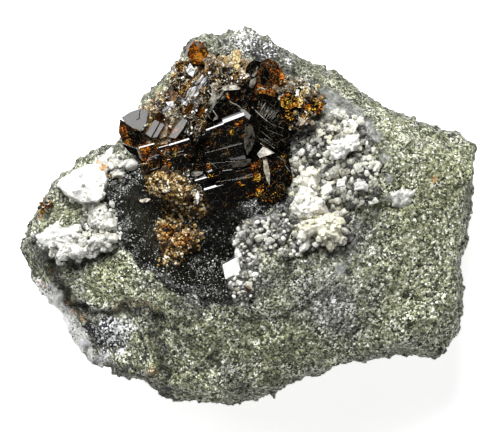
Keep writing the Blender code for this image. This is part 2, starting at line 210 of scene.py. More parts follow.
def noiseNode(tree, coords, scale, detail=3, roughness=0.5, distortion=0.0):
    return addNode(tree, "ShaderNodeTexNoise", {
        "Vector": coords, "Scale": scale, "Detail": detail, "Roughness": roughness, "Distortion": distortion,
    }).outputs["Fac"]


def cellNode(tree, coords, scale, feature="F1", randomness=1.0):
    return addNode(
        tree, "ShaderNodeTexVoronoi", {"Vector": coords, "Scale": scale, "Randomness": randomness},
        feature=feature,
    )


def ramp(tree, value, stops, interpolation="LINEAR"):
    made = addNode(tree, "ShaderNodeValToRGB", {"Fac": value})
    made.color_ramp.interpolation = interpolation
    elements = made.color_ramp.elements
    while len(elements) < len(stops):
        elements.new(0.5)
    for element, (place, colour) in zip(elements, stops):
        element.position = place
        element.color = (*colour, 1) if isinstance(colour, tuple) else (colour, colour, colour, 1)
    return made.outputs["Color"]


def mixed(tree, amount, a, b, blend="MIX"):
    made = addNode(tree, "ShaderNodeMix", data_type="RGBA", blend_type=blend)
    for index, value in ((0, amount), (6, a), (7, b)):
        if isinstance(value, bpy.types.NodeSocket):
            tree.links.new(value, made.inputs[index])
        else:
            made.inputs[index].default_value = (*value, 1) if isinstance(value, tuple) else value
    return made.outputs[2]


def maths(tree, operation, a, b=0.0, c=0.0, clamp=False):
    return addNode(
        tree, "ShaderNodeMath", {0: a, 1: b, 2: c}, operation=operation, use_clamp=clamp
    ).outputs[0]


def plus(tree, a, b):
    return maths(tree, "ADD", a, b)


def minus(tree, a, b):
    return maths(tree, "SUBTRACT", a, b)


def times(tree, a, b):
    return maths(tree, "MULTIPLY", a, b)


def varied(tree, base, by, middle, amount):
    # base, moved up or down by how far another value is from its middle
    return plus(tree, base, times(tree, minus(tree, by, middle), amount))


def vectorMaths(tree, operation, a, b):
    return addNode(tree, "ShaderNodeVectorMath", {0: a, 1: b}, operation=operation).outputs[0]


def scaledVector(tree, vector, amount):
    return addNode(tree, "ShaderNodeVectorMath", {0: vector, "Scale": amount}, operation="SCALE").outputs[0]


def separated(tree, colour):
    return addNode(tree, "ShaderNodeSeparateColor", {0: colour})


def stretched(tree, coords, degrees, stretch):
    # draws a pattern out along one direction in the plan
    return addNode(tree, "ShaderNodeMapping", {
        "Vector": coords, "Rotation": (0, 0, math.radians(degrees)), "Scale": (stretch, 1, 1),
    }, vector_type="TEXTURE").outputs[0]


def mapRange(tree, value, low, high, toLow=0.0, toHigh=1.0):
    return addNode(tree, "ShaderNodeMapRange", {
        "Value": value, "From Min": low, "From Max": high, "To Min": toLow, "To Max": toHigh,
    }).outputs[0]


def attributeNode(tree, name):
    return addNode(tree, "ShaderNodeAttribute", attribute_name=name).outputs["Fac"]


def bumped(tree, height, strength, distance, normal=None):
    inputs = {"Height": height, "Strength": strength, "Distance": distance}
    if normal is not None:
        inputs["Normal"] = normal
    return addNode(tree, "ShaderNodeBump", inputs).outputs["Normal"]


def tiltedCells(tree, cellColour, amount):
    # turns the normal a little differently in each cell, so that grains glint one by one
    spread = vectorMaths(tree, "SUBTRACT", cellColour, (0.5, 0.5, 0.5))
    scaled = scaledVector(tree, spread, amount)
    normal = addNode(tree, "ShaderNodeNewGeometry").outputs["Normal"]
    return vectorMaths(tree, "NORMALIZE", vectorMaths(tree, "ADD", normal, scaled), (0, 0, 0))


# Camera, floor and light

camera = bpy.data.objects.new("camera", bpy.data.cameras.new("camera"))
bpy.context.scene.collection.objects.link(camera)
camera.location = (*planMiddle, eyeHeight)
camera.data.sensor_width = 36
camera.data.lens = camera.data.sensor_width * (eyeHeight - planHeight) / (sheetWide / squaresPerMm * mm)
camera.data.clip_start = 0.01
camera.data.clip_end = 20
bpy.context.scene.camera = camera

lights = {
    "keyLight": {"toward": (-0.12, 0.64, 0.76), "away": 0.62, "size": 0.29, "watts": 5.0},
    "sideLight": {"toward": (-0.66, 0.32, 0.68), "away": 0.62, "size": 0.26, "watts": 0.9},
    "frontLight": {"toward": (0.45, -0.90, 0.26), "away": 0.75, "size": 0.36, "watts": 0.35},
}
for name, lamp in lights.items():
    toward = Vector(lamp["toward"]).normalized()
    data = bpy.data.lights.new(name, "AREA")
    data.shape = "SQUARE"
    data.size = lamp["size"]
    data.energy = lamp["watts"]
    made = bpy.data.objects.new(name, data)
    made.location = toward * lamp["away"] + Vector((0, 0, 0.015))
    made.rotation_mode = "QUATERNION"
    made.rotation_quaternion = toward.to_track_quat("Z", "Y")
    made.visible_camera = False
    bpy.context.scene.collection.objects.link(made)

world = bpy.data.worlds.new("studio")
bpy.context.scene.world = world
world.use_nodes = True
direction = addNode(world.node_tree, "ShaderNodeTexCoord").outputs["Generated"]
height = addNode(world.node_tree, "ShaderNodeSeparateXYZ", {0: direction}).outputs["Z"]
sky = ramp(world.node_tree, height, [(0.0, 0.42), (0.35, 0.32), (0.70, 0.05), (1.0, 0.015)])
world.node_tree.links.new(sky, world.node_tree.nodes["Background"].inputs["Color"])
bpy.context.scene.view_settings.view_transform = "Standard"

bm = bmesh.new()
bmesh.ops.create_grid(bm, x_segments=1, y_segments=1, size=3)
floor = objectOf("floor", bm)
floor.location.z = -0.1 * mm
material, tree, shader, coords = newMaterial("paleFloor", roughness=0.8)
shader.inputs["Base Color"].default_value = (0.9, 0.9, 0.9, 1)
shader.inputs["Emission Color"].default_value = (1, 1, 1, 1)
shader.inputs["Emission Strength"].default_value = 0.8
floor.data.materials.append(material)
print("stage set")

# Rock: the solid's form, finer, with its crust zones

rockLook = {
    "voxel": 0.41 * mm,
    # size and height of each layer of roughness in mm, and where its noise starts
    "lumps": ((7.0, 0.42, 3.1), (2.6, 0.26, 11.7), (1.15, 0.14, 23.9), (0.6, 0.13, 37.3)),
    # size in mm of broken facets, and how far they lean and step
    "chips": ((3.4, 0.55, 0.30), (1.5, 0.5, 0.2)),
    "lining": (
        (-21.5, 7.5), (-25.6, 6.1), (-25.6, -0.2), (-24.0, -5.5), (-19.2, -9.3), (-15.4, -11.8),
        (-11.8, -14.5), (-8.2, -15.7), (-2.9, -15.4), (-1.6, -13.6), (-2.0, -10.9), (-1.1, -2.0), (7.0, 1.6),
        (12.0, 9.0), (10.0, 17.0), (-2.0, 20.0), (-14.0, 18.0),
    ),
    "coat": (
        (-38.5, -12.5), (-35.2, -12.3), (-33.2, -15.8), (-28.6, -22.4), (-26.5, -27.8), (-31.4, -26.0),
        (-36.0, -21.0), (-40.5, -14.0),
    ),
    # smooth grey film: plan square, reach, strength
    "films": ((322, 90, 14, 0.8), (333, 97, 14, 0.95), (345, 105, 14, 0.95), (357, 114, 14, 0.95),
              (368, 124, 13, 0.9), (378, 136, 12, 0.8), (341, 269, 11, 0.9), (349, 262, 7, 0.7),
              (384, 158, 9, 0.8), (390, 178, 9, 0.8), (386, 198, 9, 0.8), (374, 214, 9, 0.7),
              (358, 226, 8, 0.6), (352, 244, 9, 0.7), (195, 368, 16, 0.5), (216, 384, 15, 0.5),
              (182, 352, 12, 0.45), (246, 268, 10, 0.5), (262, 286, 9, 0.5), (206, 300, 10, 0.4),
              (432, 146, 8, 0.35), (140, 356, 12, 0.4), (310, 262, 12, 0.5)),
    # black and white patch: plan square, reach, strength, for the black and for the white
    "soot": ((106, 336, 26, 0.62), (256, 48, 20, 0.6), (222, 44, 14, 0.5), (270, 52, 16, 0.6),
             (96, 334, 11, 0.9), (112, 344, 9, 0.85), (88, 328, 8, 0.8), (76, 322, 6, 0.5)),
    "frost": ((112, 332, 26, 0.40), (246, 37, 18, 0.42), (268, 50, 14, 0.30), (290, 60, 8, 0.3),
              (128, 328, 11, 0.56), (120, 324, 8, 0.55), (104, 357, 9, 0.68), (84, 344, 8, 0.7),
              (120, 352, 8, 0.6), (66, 326, 8, 0.8), (222, 296, 8, 0.45), (200, 318, 4, 0.6),
              (36, 284, 8, 0.6), (334, 300, 4, 0.9)),
    # pale yellow veins: plan square, reach, strength
    "veins": ((150, 104, 8, 0.8), (158, 92, 8, 0.9), (168, 84, 7, 0.8), (146, 112, 6, 0.8), (206, 60, 8, 0.5),
              (222, 56, 9, 0.5), (254, 60, 8, 0.4), (186, 62, 6, 0.5)),
    # rust stains, and grey haze on the lining: the same
    "rusts": ((37, 283, 4, 0.9), (43, 287, 4, 0.7), (68, 303, 5, 0.5), (83, 319, 5, 0.6), (435, 179, 4, 0.9),
              (40, 216, 4, 0.6), (50, 272, 4, 0.5), (118, 308, 7, 0.2), (130, 304, 7, 0.12),
              (144, 306, 8, 0.15), (155, 310, 5, 0.2), (152, 372, 8, 0.25), (73, 312, 4, 0.6)),
    "hazes": ((140, 216, 26, 0.8), (154, 240, 22, 0.6), (132, 196, 16, 0.6)),
    "coatTop": ((-3.4, 34.0), (-2.2, 31.0), (2.2, 30.4), (4.2, 31.4), (6.4, 29.2), (6.0, 33.0), (1.0, 36.0)),
    "band": ((9.8, 24.4), (13.0, 22.6), (17.6, 18.6), (21.8, 15.4), (22.6, 13.2), (19.6, 13.0), (16.4, 15.6),
             (12.6, 19.6)),
    # broken lines in plan squares, each with depth and width in mm, and how dark the painted shade along it
    # is
    "creases": (
        (((44, 256), (48, 264), (52, 275), (60, 290), (69, 304), (80, 313)), 1.5, 1.0, 0.85),
        (((80, 313), (100, 318), (128, 309), (150, 311), (158, 322), (157, 342), (161, 366), (167, 394)), 0.8,
         0.8, 0.75),
        (((160, 322), (178, 328), (192, 346), (214, 362), (236, 388)), 0.5, 1.4, 0.45),
        (((98, 360), (122, 370), (150, 377), (160, 384)), 0.6, 0.8, 0.6),
        (((38, 262), (62, 264), (84, 264), (100, 254), (116, 248)), 1.0, 0.9, 0.8),
        (((306, 76), (330, 91), (356, 112), (377, 129)), 0.5, 0.7, 0.45),
        (((262, 50), (275, 62), (292, 73), (312, 86), (326, 96)), 0.4, 0.9, 0.5),
        (((61, 227), (78, 228), (92, 231), (100, 238)), 0.7, 0.8, 0.5),
        (((57, 189), (66, 201), (80, 206), (88, 215)), 0.8, 0.8, 0.6),
        (((194, 43), (208, 65), (214, 79)), 0.6, 0.9, 0.3),
        (((130, 120), (152, 108), (166, 88)), 0.5, 0.8, 0.4),
        (((246, 326), (290, 318), (318, 300), (352, 296)), 0.5, 1.3, 0.4),
        (((356, 336), (372, 310), (376, 284)), 0.4, 1.2, 0.35),
        (((228, 300), (260, 296), (300, 256), (350, 250), (380, 214)), 0.6, 1.2, 0.5),
    ),
    # plan square, reach in squares, and how light the rock is there: partly its own lighter and darker
    # patches, partly painted light and painted shade on slopes, steep sides and beside the blocks
    "shades": (
        (152, 92, 12, 0.6), (142, 106, 7, 0.6), (206, 46, 10, 0.45), (262, 58, 12, 0.45), (290, 76, 11, 0.5),
        (312, 90, 10, 0.55), (246, 36, 12, 1.0), (384, 160, 12, 0.7), (390, 180, 12, 0.7),
        (384, 202, 11, 0.7), (373, 134, 10, 0.65), (222, 46, 26, 0.55), (284, 66, 26, 0.60),
        (180, 68, 9, 0.42), (184, 48, 10, 0.42), (166, 82, 8, 0.7), (385, 120, 38, 1.22), (350, 92, 22, 1.2),
        (432, 312, 44, 1.40), (335, 312, 48, 0.85), (105, 290, 40, 2.0), (130, 262, 18, 1.5),
        (78, 262, 18, 0.85), (36, 250, 16, 0.42), (120, 356, 26, 1.3), (150, 376, 22, 1.35),
        (210, 384, 34, 1.5), (245, 330, 34, 1.38), (290, 350, 40, 1.15), (60, 215, 22, 0.85),
        (107, 151, 18, 0.42), (113, 186, 10, 0.25), (116, 204, 9, 0.3), (121, 222, 7, 0.4),
        (474, 160, 30, 1.5), (468, 250, 28, 1.35), (462, 322, 26, 1.25), (200, 362, 24, 1.25),
        (110, 336, 30, 1.0), (295, 270, 40, 0.84), (350, 255, 40, 0.95), (160, 330, 30, 1.05),
        (400, 258, 30, 0.95), (180, 350, 26, 0.9), (250, 292, 16, 1.1), (172, 282, 22, 0.75),
        (455, 160, 26, 1.1), (165, 92, 16, 1.0),
    ),
    # the same for how grey it is, from olive to grey
    "greys": (
        (330, 300, 60, 0.8), (350, 235, 40, 0.75), (250, 60, 60, 0.6), (100, 330, 50, 0.7),
        (250, 280, 34, 0.7), (195, 290, 36, 0.8), (420, 200, 60, 0.1), (110, 280, 36, 0.1),
        (450, 170, 40, 0.05), (390, 120, 30, 0.2), (60, 215, 30, 0.15), (190, 390, 50, 0.2),
    ),
}


def chipsOver(places, size, lean, step):
    # broken facets: each cell of a random pattern leans and steps its own way
    heights = []
    for p in places:
        _, points = noise.voronoi(Vector(p) / size)
        cell = points[0]
        away = Vector(p) / size - cell
        tilt = Vector([noise.noise(cell * 3.7 + Vector((k, 2 * k, 5))) for k in (1, 2, 3)])
        heights.append(away.dot(tilt) * size * lean + noise.noise(cell * 5.3) * step)
    return np.clip(heights, -0.5 * mm, 0.5 * mm)


rock = nodeCopy("matrix", "diopside_rock")
remeshed(rock, rockLook["voxel"])
softened(rock, 12)
places, normals = coordinates(rock), normalsOf(rock)
upward = np.clip(normals[:, 2], 0, 1)
offBack = smoothStep(places[:, 2], 0.4 * mm, 2.2 * mm)
push = np.zeros(len(places))
for size, amount, offset in rockLook["lumps"]:
    push += noiseOver(places, size * mm, offset) * amount * 1.6 * mm
# broken edges: the walls are rougher than the faces
push += noiseOver(places, 1.7 * mm, 81.3) * 0.3 * mm * (1 - upward)
for size, lean, step in rockLook["chips"]:
    push += chipsOver(places, size * mm, lean, step * mm) * (1 - 0.6 * upward)
linePoints = places.copy()
linePoints[:, 0] += noiseOver(places, 2.2 * mm, 51.3) * 1.4 * mm
linePoints[:, 1] += noiseOver(places, 2.2 * mm, 67.9) * 1.4 * mm
# painted shade: darker along each crease, where shade falls
creaseShade = np.zeros(len(places))
for line, depth, width, dark in rockLook["creases"]:
    away = distanceTo(linePoints, planLine(line, 24))
    push -= depth * mm * np.exp(-((away / (width * mm)) ** 2)) * upward
    creaseShade = np.maximum(creaseShade, dark * np.exp(-((away / (width * 1.3 * mm)) ** 2)))
places += normals * (push * (0.12 + 0.88 * offBack))[:, None]
places[:, 2] = np.maximum(places[:, 2], 0)
setCoordinates(rock, places)
smoothShaded(rock)


def zonePaint(obj, name, zones, start=0.0, soft=0.5):
    # paints round spots, given as plan squares with a reach, over what is there
    places = coordinates(obj)
    values = np.full(len(places), float(start))
    layer = obj.data.attributes.get(name)
    if layer:
        flat = np.empty(len(places), np.float32)
        layer.data.foreach_get("value", flat)
        values = flat.astype(float)
    for u, v, reach, amount in zones:
        middle = plan(u, v, spotHeight)
        away = np.hypot(places[:, 0] - middle.x, places[:, 1] - middle.y)
        share = 1 - smoothStep(away, reach * soft / squaresPerMm * mm, reach / squaresPerMm * mm)
        values = values + (amount - values) * share
    setAttribute(obj, name, values)


def zoneOf(key, border):
    return smoothStep(depthInside(linePoints, np.array(rockLook[key]) * mm), -border * mm, border * mm)


setAttribute(rock, "lining", zoneOf("lining", 0.9) * smoothStep(normals[:, 2], 0.05, 0.3))
setAttribute(rock, "coat", np.maximum(zoneOf("coat", 1.2), zoneOf("coatTop", 1.6) * 0.30))
setAttribute(rock, "band", zoneOf("band", 0.9))
# painted shade: steep faces are marked to be painted darker
setAttribute(rock, "wallShade", 1 - smoothStep(normals[:, 2], 0.05, 0.62))
# painted light and shade, together with the rock's own lighter and darker patches
zonePaint(rock, "shade", rockLook["shades"], 1.0, 0.1)
# the painted crease shade darkens the rock's lightness
values = np.empty(len(rock.data.vertices), np.float32)
rock.data.attributes["shade"].data.foreach_get("value", values)
setAttribute(rock, "shade", values * (1 - creaseShade))
zonePaint(rock, "greyness", rockLook["greys"], 0.28, 0.1)
for key in ("films", "soot", "frost"):
    zonePaint(rock, key, rockLook[key], 0.0, 0.2)
zonePaint(rock, "rust", rockLook["rusts"], 0.0, 0.5)
zonePaint(rock, "vein", rockLook["veins"], 0.0, 0.1)
zonePaint(rock, "haze", rockLook["hazes"], 0.0, 0.1)
print("rock", len(rock.data.polygons))


def rockMaterial():
    material, tree, shader, coords = newMaterial("diopsideRock", roughness=0.6, ior=1.6)
    shader.inputs["Specular IOR Level"].default_value = 0.35
    spread = addNode(tree, "ShaderNodeTexNoise", {"Vector": coords, "Scale": 2600.0, "Detail": 1.0})
    grainCoords = vectorMaths(tree, "ADD", coords, scaledVector(tree, spread.outputs["Color"], 0.00022))
    cells = cellNode(tree, grainCoords, 2900)
    parts = separated(tree, cells.outputs["Color"])
    fine = cellNode(tree, grainCoords, 5200)
    fineParts = separated(tree, fine.outputs["Color"])
    broad = noiseNode(tree, coords, 150, 4, 0.6)
    patchy = noiseNode(tree, coords, 620, 3, 0.6)
    coarse = mapRange(tree, noiseNode(tree, coords, 230, 2, 0.5), 0.36, 0.64, 0.72, 1.28)
    pick = plus(tree, times(tree, parts.outputs[0], 0.68), times(tree, fineParts.outputs[0], 0.32))
    pick = times(tree, minus(tree, pick, 0.5), coarse)
    mottled = noiseNode(tree, coords, 1150, 2, 0.6)
    pick = varied(tree, plus(tree, times(tree, pick, 0.95), 0.5), patchy, 0.5, 0.62)
    pick = varied(tree, pick, mottled, 0.5, 0.45)
    olive = ramp(tree, pick, [
        (0.14, (0.010, 0.012, 0.006)), (0.30, (0.044, 0.052, 0.022)), (0.46, (0.155, 0.170, 0.082)),
        (0.61, (0.300, 0.320, 0.165)), (0.75, (0.54, 0.56, 0.33)), (0.88, (0.97, 0.97, 0.86)),
    ])
    grey = ramp(tree, pick, [
        (0.14, (0.011, 0.011, 0.010)), (0.30, (0.048, 0.050, 0.042)), (0.46, (0.155, 0.158, 0.132)),
        (0.61, (0.30, 0.305, 0.27)), (0.75, (0.52, 0.525, 0.48)), (0.88, (0.96, 0.96, 0.94)),
    ])
    greyness = plus(tree, attributeNode(tree, "greyness"), minus(tree, broad, 0.5))
    greyness = varied(tree, greyness, fineParts.outputs[1], 0.5, 0.7)
    colour = mixed(tree, mapRange(tree, greyness, 0.15, 0.75), olive, grey)
    # single black grains, and single bright specks painted white as glints
    sparse = cellNode(tree, grainCoords, 1500)
    sparseParts = separated(tree, sparse.outputs["Color"])
    small = maths(tree, "LESS_THAN", sparse.outputs["Distance"], times(tree, sparseParts.outputs[1], 0.42))
    colour = mixed(tree, times(tree, small, maths(tree, "GREATER_THAN", sparseParts.outputs[0], 0.85)),
                   colour, (0.97, 0.97, 0.93))
    colour = mixed(tree, times(tree, small, maths(tree, "LESS_THAN", sparseParts.outputs[0], 0.19)), colour,
                   (0.008, 0.008, 0.006))
    band = ramp(tree, noiseNode(tree, coords, 1200, 5, 0.7), [
        (0.36, (0.11, 0.115, 0.11)), (0.5, (0.30, 0.31, 0.30)), (0.64, (0.58, 0.59, 0.58))])
    edgeNoise = minus(tree, noiseNode(tree, coords, 900, 3, 0.6), 0.5)
    films = times(tree, attributeNode(tree, "films"), mapRange(tree, patchy, 0.3, 0.6, 0.6, 1.0))
    filmed = maths(tree, "MAXIMUM", attributeNode(tree, "band"), films)
    colour = mixed(tree, mapRange(tree, plus(tree, filmed, edgeNoise), 0.35, 0.75, 0.0, 0.78), colour, band)
    # the black lining, with its rarest cells painted bright as glints
    black = ramp(tree, fineParts.outputs[2], [
        (0.0, (0.002, 0.002, 0.0018)), (0.66, (0.005, 0.0055, 0.004)), (0.88, (0.016, 0.018, 0.012)),
        (0.945, (0.070, 0.075, 0.055)), (0.985, (0.70, 0.70, 0.64)),
    ])
    coatPick = varied(tree, pick, noiseNode(tree, coords, 330, 3), 0.5, 0.9)
    coat = ramp(tree, coatPick, [
        (0.10, (0.030, 0.032, 0.034)), (0.20, (0.26, 0.26, 0.24)), (0.32, (0.70, 0.70, 0.65)),
        (0.5, (0.90, 0.90, 0.86)), (0.95, (0.97, 0.97, 0.95)),
    ])
    coatMask = mapRange(tree, plus(tree, attributeNode(tree, "coat"), edgeNoise), 0.42, 0.58)
    colour = mixed(tree, coatMask, colour, coat)
    vein = times(tree, attributeNode(tree, "vein"), mapRange(tree, pick, 0.35, 0.6))
    colour = mixed(tree, vein, colour, (0.62, 0.60, 0.30))
    rust = times(tree, attributeNode(tree, "rust"), mapRange(tree, patchy, 0.35, 0.6))
    colour = mixed(tree, rust, colour, (0.62, 0.30, 0.09))
    # painted shade: bare steep faces darker, down to 0.55 of their lightness
    bare = times(tree, attributeNode(tree, "wallShade"), minus(tree, 1.0, coatMask))
    shadeOf = times(tree, attributeNode(tree, "shade"), mapRange(tree, bare, 0, 1, 1.0, 0.55))
    shadeOf = times(tree, shadeOf, mapRange(tree, broad, 0.3, 0.7, 0.86, 1.14))
    colour = mixed(tree, 1.0, colour, addNode(
        tree, "ShaderNodeCombineColor", {0: shadeOf, 1: shadeOf, 2: shadeOf}
    ).outputs[0], "MULTIPLY")
    for label, channel, tint in (("soot", 1, (0.006, 0.007, 0.010)), ("frost", 2, (0.88, 0.89, 0.92))):
        spotty = times(tree, minus(tree, parts.outputs[channel], 0.5), 0.9)
        there = mapRange(tree, plus(tree, attributeNode(tree, label), spotty), 0.45, 0.6)
        colour = mixed(tree, there, colour, tint)
    haze = times(tree, attributeNode(tree, "haze"), mapRange(tree, mottled, 0.35, 0.6, 0.3, 1.0))
    black = mixed(tree, haze, black, (0.050, 0.052, 0.040))
    liningMask = mapRange(tree, plus(tree, attributeNode(tree, "lining"), edgeNoise), 0.42, 0.58)
    colour = mixed(tree, liningMask, colour, black)
    tree.links.new(colour, shader.inputs["Base Color"])
    gloss = ramp(tree, parts.outputs[2], [(0.0, 0.22), (0.2, 0.5), (1.0, 0.85)])
    wet = ramp(tree, parts.outputs[2], [(0.0, 0.04), (0.6, 0.11), (1.0, 0.28)])
    gloss = mixed(tree, liningMask, gloss, wet)
    tree.links.new(gloss, shader.inputs["Roughness"])
    glinting = mixed(tree, maths(tree, "GREATER_THAN", fineParts.outputs[0], 0.5), (0.5, 0.5, 0.5),
                     fine.outputs["Color"])
    tilt = tiltedCells(tree, mixed(tree, liningMask, cells.outputs["Color"], glinting), 0.95)
    domes = times(tree, cells.outputs["Distance"], -1.0)
    tree.links.new(bumped(tree, domes, 0.6, 0.00018, tilt), shader.inputs["Normal"])
    return material


rock.data.materials.append(rockMaterial())
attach(rock, "root")
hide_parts("matrix")
print("rock dressed")


# Ground to set things on


def treeOf(*objects):
    bm = bmesh.new()
    for obj in objects:
        bm.from_mesh(obj.data)
    made = BVHTree.FromBMesh(bm)
    bm.free()
    return made


def dropOn(ground, place):
    hit, normal, _, _ = ground.ray_cast(Vector((place[0], place[1], 0.1)), Vector((0, 0, -1)))
    return hit, normal


def inOutline(x, y, outline):
    inside = False
    x0, y0 = outline[-1]
    for x1, y1 in outline:
        if (y0 > y) != (y1 > y) and x < (x1 - x0) * (y - y0) / (y1 - y0) + x0:
            inside = not inside
        x0, y0 = x1, y1
    return inside


def strewn(outline, gap, seed, ground, tries=9000):
    # places at least a gap apart within an outline, each with its ground point and facing
    rng = random.Random(seed)
    low, high = outline.min(0), outline.max(0)
    outline = outline.tolist()
    cell = gap[0] * mm
    taken = {}
    found = []
    for _ in range(tries):
        x, y = rng.uniform(low[0], high[0]), rng.uniform(low[1], high[1])
        apart = rng.uniform(*gap) * mm
        i, j = int(x // cell), int(y // cell)
        near = (p for a in range(-2, 3) for b in range(-2, 3) for p in taken.get((i + a, j + b), ()))
        if any(math.hypot(x - px, y - py) < apart for px, py in near):
            continue
        if not inOutline(x, y, outline):
            continue
        hit, normal = dropOn(ground, (x, y))
        if hit is None:
            continue
        taken.setdefault((i, j), []).append((x, y))
        found.append((hit, normal, apart))
    return found


def turnedAtRandom(rng):
    return Matrix.Rotation(rng.uniform(0, math.tau), 4, "Z") @ Matrix.Rotation(
        math.acos(rng.uniform(-1, 1)), 4, "X") @ Matrix.Rotation(rng.uniform(0, math.tau), 4, "Z")


def roundedRhomb(bm, place, size, turn, lean=0.22, corner=0.3, uneven=0.0):
    made = bmesh.ops.create_cube(bm, size=1)
    verts = made["verts"]
    edges = list({e for v in verts for e in v.link_edges})
    out = bmesh.ops.bevel(bm, geom=edges, offset=corner, segments=1, profile=0.5, affect="EDGES", material=-1)
    verts = list({v for f in out["faces"] for v in f.verts})
    shear = Matrix.Shear("XZ", 4, (lean, lean * 0.5))
    shape = Matrix.Translation(place) @ turn @ Matrix.Diagonal((*size, 1)) @ shear
    bmesh.ops.transform(bm, matrix=shape, verts=verts)
    if uneven:
        for vert in verts:
            vert.co += (vert.co - place) * noise.noise(vert.co / (0.5 * mm)) * uneven
    return verts


def paint(bm, verts, **values):
    for name, value in values.items():
        layer = bm.verts.layers.float.get(name) or bm.verts.layers.float.new(name)
        for vert in verts:
            vert[layer] = value


def newGrainMesh(*names):
    bm = bmesh.new()
    for name in names:
        bm.verts.layers.float.new(name)
    return bm


def joinedAs(name, objects):
    # one piece from several meshes, their painted values kept
    bm = bmesh.new()
    for obj in objects:
        bm.from_mesh(obj.data)
    materials = list(objects[0].data.materials)
    kept = [(p.use_smooth, p.material_index) for obj in objects for p in obj.data.polygons]
    made = objectOf(name, bm)
    for material in materials:
        made.data.materials.append(material)
    for polygon, (smooth, index) in zip(made.data.polygons, kept):
        polygon.use_smooth = smooth
        polygon.material_index = index
    for obj in objects:
        bpy.data.objects.remove(obj, do_unlink=True)
    return made


def sheetOver(name, outline, ground, spec):
    # a crust within an outline: blocks of a cleavage grid at different heights, over sunken ground
    step = spec.get("step", 0.2) * mm
    rng = random.Random(spec["seed"])
    low, high = outline.min(0) - step, outline.max(0) + step
    columns, rows = int((high[0] - low[0]) / step) + 2, int((high[1] - low[1]) / step) + 2
    grid = np.array([(low[0] + i * step, low[1] + j * step, 0) for j in range(rows) for i in range(columns)])
    ragged = grid.copy()
    ragged[:, 0] += noiseOver(grid, 1.1 * mm, spec["seed"]) * spec.get("ragged", 0.5) * mm
    ragged[:, 1] += noiseOver(grid, 1.1 * mm, spec["seed"] + 9) * spec.get("ragged", 0.5) * mm
    deep = depthInside(ragged, outline)
    angle = math.radians(spec["turn"])
    across, along = spec["block"]
    u = (grid[:, 0] * math.cos(angle) + grid[:, 1] * math.sin(angle)) / mm
    v = (grid[:, 1] * math.cos(angle + 0.2) - grid[:, 0] * math.sin(angle + 0.2)) / mm
    blocks = {}
    bm = bmesh.new()
    top, bottom = {}, {}
    for k, place in enumerate(grid):
        if deep[k] < -0.3 * step:
            continue
        hit, _ = dropOn(ground, place)
        if hit is None:
            continue
        key = (math.floor(u[k] / across + 0.3 * math.floor(v[k] / along)), math.floor(v[k] / along))
        if key not in blocks:
            blocks[key] = (rng.uniform(-1, 1), rng.uniform(-1, 1), rng.uniform(-1, 1))
        lift, slopeU, slopeV = blocks[key]
        rise = spec["thick"] * (0.35 + 0.65 * float(smoothStep(deep[k], 0, spec.get("rim", 1.0) * mm)))
        rise += lift * spec["steps"]
        slope = (u[k] / across % 1 - 0.5) * slopeU * spec["tilt"]
        rise += slope + (v[k] / along % 1 - 0.5) * slopeV * spec["tilt"]
        top[k] = bm.verts.new((place[0], place[1], hit.z + rise * mm))
        bottom[k] = bm.verts.new((place[0], place[1], hit.z - 0.9 * mm))
    cells = []
    for j in range(rows - 1):
        for i in range(columns - 1):
            k = j * columns + i
            corners = (k, k + 1, k + columns + 1, k + columns)
            if all(c in top for c in corners):
                cells.append(corners)
    count = {}
    for corners in cells:
        for a, b in zip(corners, corners[1:] + corners[:1]):
            count[frozenset((a, b))] = count.get(frozenset((a, b)), 0) + 1
    for corners in cells:
        bm.faces.new([top[c] for c in corners])
        bm.faces.new([bottom[c] for c in reversed(corners)])
        for a, b in zip(corners, corners[1:] + corners[:1]):
            if count[frozenset((a, b))] == 1:
                bm.faces.new((top[b], top[a], bottom[a], bottom[b]))
    bmesh.ops.delete(bm, geom=[v for v in bm.verts if not v.link_faces], context="VERTS")
    bmesh.ops.recalc_face_normals(bm, faces=bm.faces)
    made = objectOf(name, bm)
    remeshed(made, spec.get("voxel", 0.17) * mm)
    softened(made, spec.get("soften", 1), 0.4)
    return smoothShaded(made, True)


coarseRock = treeOf(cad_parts["matrix"])


# Calcite: its material takes tone (grey to white), stain (rust) and cream from the mesh


def calciteMaterial(name, warm, grainy):
    material, tree, shader, coords = newMaterial(name, roughness=0.38, ior=1.57)
    tone = attributeNode(tree, "tone")
    cloud = noiseNode(tree, coords, 1300, 4, 0.65)
    small = noiseNode(tree, coords, 4200, 2, 0.6)
    mix = varied(tree, tone, cloud, 0.5, 0.8)
    cells = cellNode(tree, coords, 2600)
    parts = separated(tree, cells.outputs["Color"])
    mix = varied(tree, mix, parts.outputs[0], 0.5, grainy)
    colour = ramp(tree, mix, [
        (0.0, (0.035, 0.035, 0.032)), (0.25, (0.20, 0.20, 0.185)), (0.5, (0.50, 0.50, 0.46)),
        (0.75, (0.78, 0.78, 0.73)), (1.0, (0.93, 0.93, 0.91)),
    ])
    cream = times(tree, attributeNode(tree, "cream"), mapRange(tree, cloud, 0.3, 0.7, 0.3, 1.0))
    colour = mixed(tree, cream, colour, warm, "MULTIPLY")
    stain = mapRange(tree, plus(tree, attributeNode(tree, "stain"), minus(tree, cloud, 0.5)), 0.35, 0.9)
    colour = mixed(tree, stain, colour, (0.70, 0.36, 0.10), "MULTIPLY")
    tree.links.new(colour, shader.inputs["Base Color"])
    shader.inputs["Subsurface Weight"].default_value = 0.12
    shader.inputs["Subsurface Radius"].default_value = (1.0, 0.95, 0.85)
    shader.inputs["Subsurface Scale"].default_value = 0.0004
    tree.links.new(mapRange(tree, small, 0.3, 0.7, 0.15, 0.45), shader.inputs["Roughness"])
    tilt = tiltedCells(tree, cells.outputs["Color"], grainy)
    tree.links.new(bumped(tree, small, 0.3, 0.0001, tilt), shader.inputs["Normal"])
    return material


